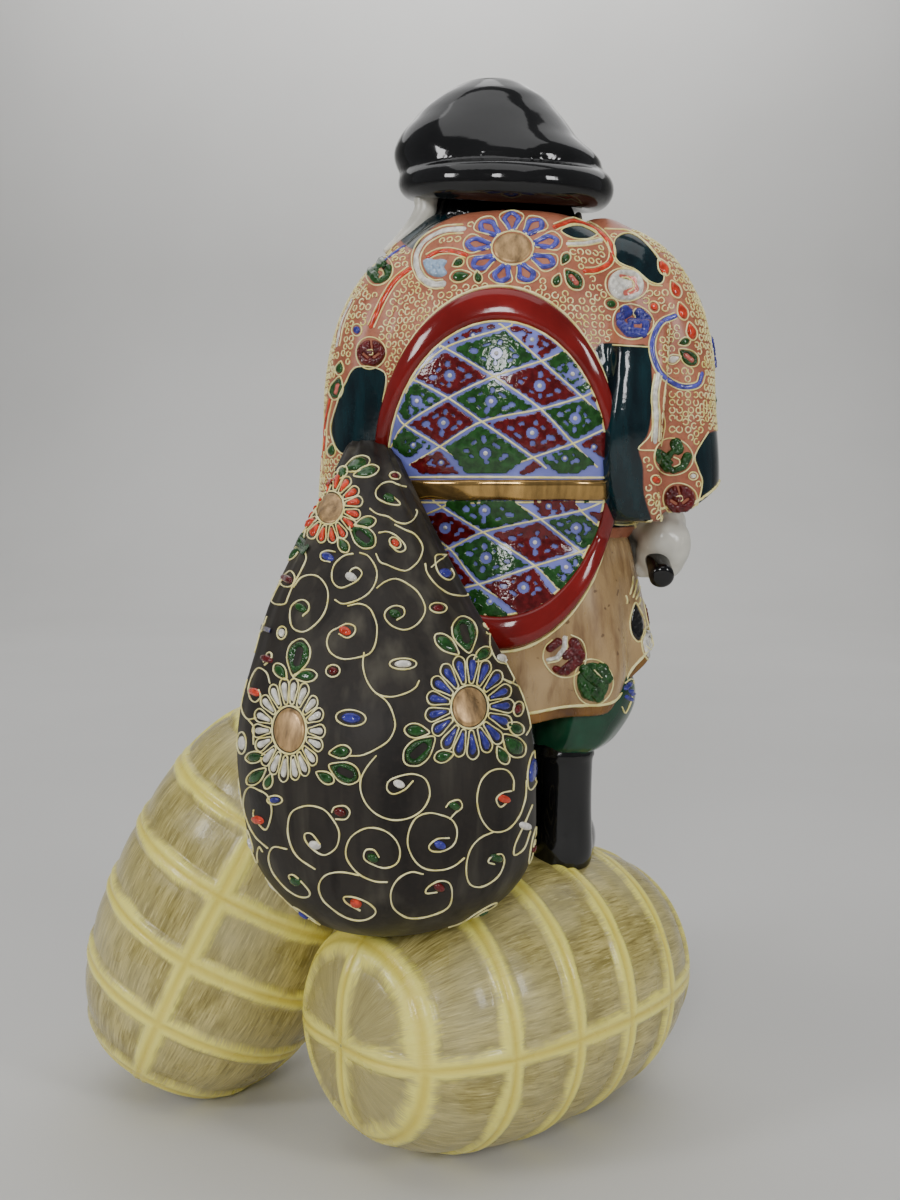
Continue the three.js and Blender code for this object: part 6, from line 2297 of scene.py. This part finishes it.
# ---- Build
make_camera()
make_stage()
make_lights()
black = glaze("black_glaze", linear(12, 12, 13), 0.08)
white = glaze("white_glaze", linear(215, 212, 200), 0.2)
green = glaze("green_glaze", linear(22, 74, 50), 0.12, contrast=0.45)
red = glaze("red_glaze", linear(120, 20, 18), 0.1)
gold = gold_look()
# The polished belt's broad dark and bright bands are painted reflections
belt_gold = gold_look("gold_polished", linear(214, 172, 104), 0.85, 0.16, (190, 190, 24))
straw = straw_look()
make_bale(
    "straw_bale_right",
    RIGHT_BALE_AT,
    (math.cos(RIGHT_BALE_TURN), math.sin(RIGHT_BALE_TURN), 0),
    (0, 0, 1),
    0.0,
    straw,
    3,
)
make_bale(
    "straw_bale_left",
    LEFT_BALE_AT,
    (math.sin(LEFT_BALE_LEAN), 0, math.cos(LEFT_BALE_LEAN)),
    (0, 1, 0),
    LEFT_ROPE_TURN,
    straw,
    5,
)
make_boot("boot_high_right", BODY_X + STANCE / 2, LEG_Y, 9, black, "boot_right")
make_boot("boot_high_left", BODY_X - STANCE / 2, LEG_Y + 2, -17, black, "boot_left")
trouser = make_trouser("trouser_puff_right", 1, green, "trouser_right")
make_trouser("trouser_puff_left", -1, green, "trouser_left")
skirt, skirt_obj = make_skirt(skirt_look())
robe_body = Skin(*closed_rings(loft(upright((BODY_X, BODY_Y + 2, ROBE_Z), (102, 88, 118.5), ROBE_SHARES), 60, 96)))
back = Back([robe_body, skirt])
robe_verts, robe_faces, hems = make_robe(None, back)
robe = Skin(robe_verts, robe_faces)
teal = region(robe.verts, robe.normals, TEAL_SEEN, TEAL_FRONT)
piece(
    "robe_cloth",
    robe_verts,
    robe_faces,
    robe_look(),
    "robe_enamel",
    ["robe", "sleeve_right", "sleeve_left"],
    {"teal": teal},
)
make_ring(back, red)
field, field_obj = make_field(back, glaze("lattice_enamel", linear(122, 128, 204), 0.12))
make_belt(back, belt_gold)
sack, sack_obj = make_sack(sack_look())
make_mouth(sack_look())
make_right_hand(white)
make_left_hand(white)
make_mallet(black, gold, red)
head_verts, head_faces = head_skin()
piece("face", head_verts, head_faces, white, "white_glaze", ["head"])
face_kit = Kit("face", "white_glaze")
draw_face(face_kit, Facing(Skin(head_verts, head_faces), -1))
face_kit.make()
make_ear("ear_lobe_right", 1, white, "ear_right")
make_ear("ear_lobe_left", -1, white, "ear_left")
make_hair(black)
make_cap(black)

# ---- Enamel
lattice = Kit("lattice", "lattice_enamel")
draw_lattice(lattice, Photo(field))
outline_panel(lattice, back)
lattice.make()

robe_kit = Kit("robe", "robe_enamel")
make_collar(robe_kit, Facing(robe, -1), white)
make_white_collar(white)
make_front_belt(robe_kit, Facing(robe, -1), belt_gold)
draw_robe(robe_kit, Photo(robe))
draw_hems(robe_kit, robe, hems)
u = (robe_verts[:, 0] - BACK_X) / (RING_HALF[0] + 1.2)
w = (robe_verts[:, 2] - BACK_Z) / (RING_HALF[1] + 1.2)
under_ring = (u**2 + w**2 < 1) & (robe_verts[:, 1] < 5)
beyond = (robe_verts[:, 2] > 287) | (robe_verts[:, 2] < 193)
facing_down = robe.normals[:, 2] < -0.5
blocked = under_ring | beyond | facing_down
dress_hidden_robe(robe_kit, robe, teal, blocked)
free = (teal < -0.9) & ~blocked
robe_loops("robe_loops_back", robe_kit, robe, free & (robe_verts[:, 1] < 2), ENAMELS["cream"])
robe_loops("robe_loops_front", robe_kit, robe, free & (robe_verts[:, 1] >= 2), ENAMELS["cream"])
robe_kit.make()

skirt_kit = Kit("skirt", "tan_glaze")
draw_skirt(skirt_kit, Photo(skirt), skirt)
dress_hidden_skirt(skirt_kit, skirt)
skirt_kit.make()
trouser_kit = Kit("trouser", "green_glaze")
draw_trousers(trouser_kit, trouser)
trouser_kit.make()

sack_kit = Kit("sack", "charcoal_glaze")
draw_sack(sack_kit, Photo(sack))
dress_hidden_sack(sack_kit, sack)
sack_kit.make()
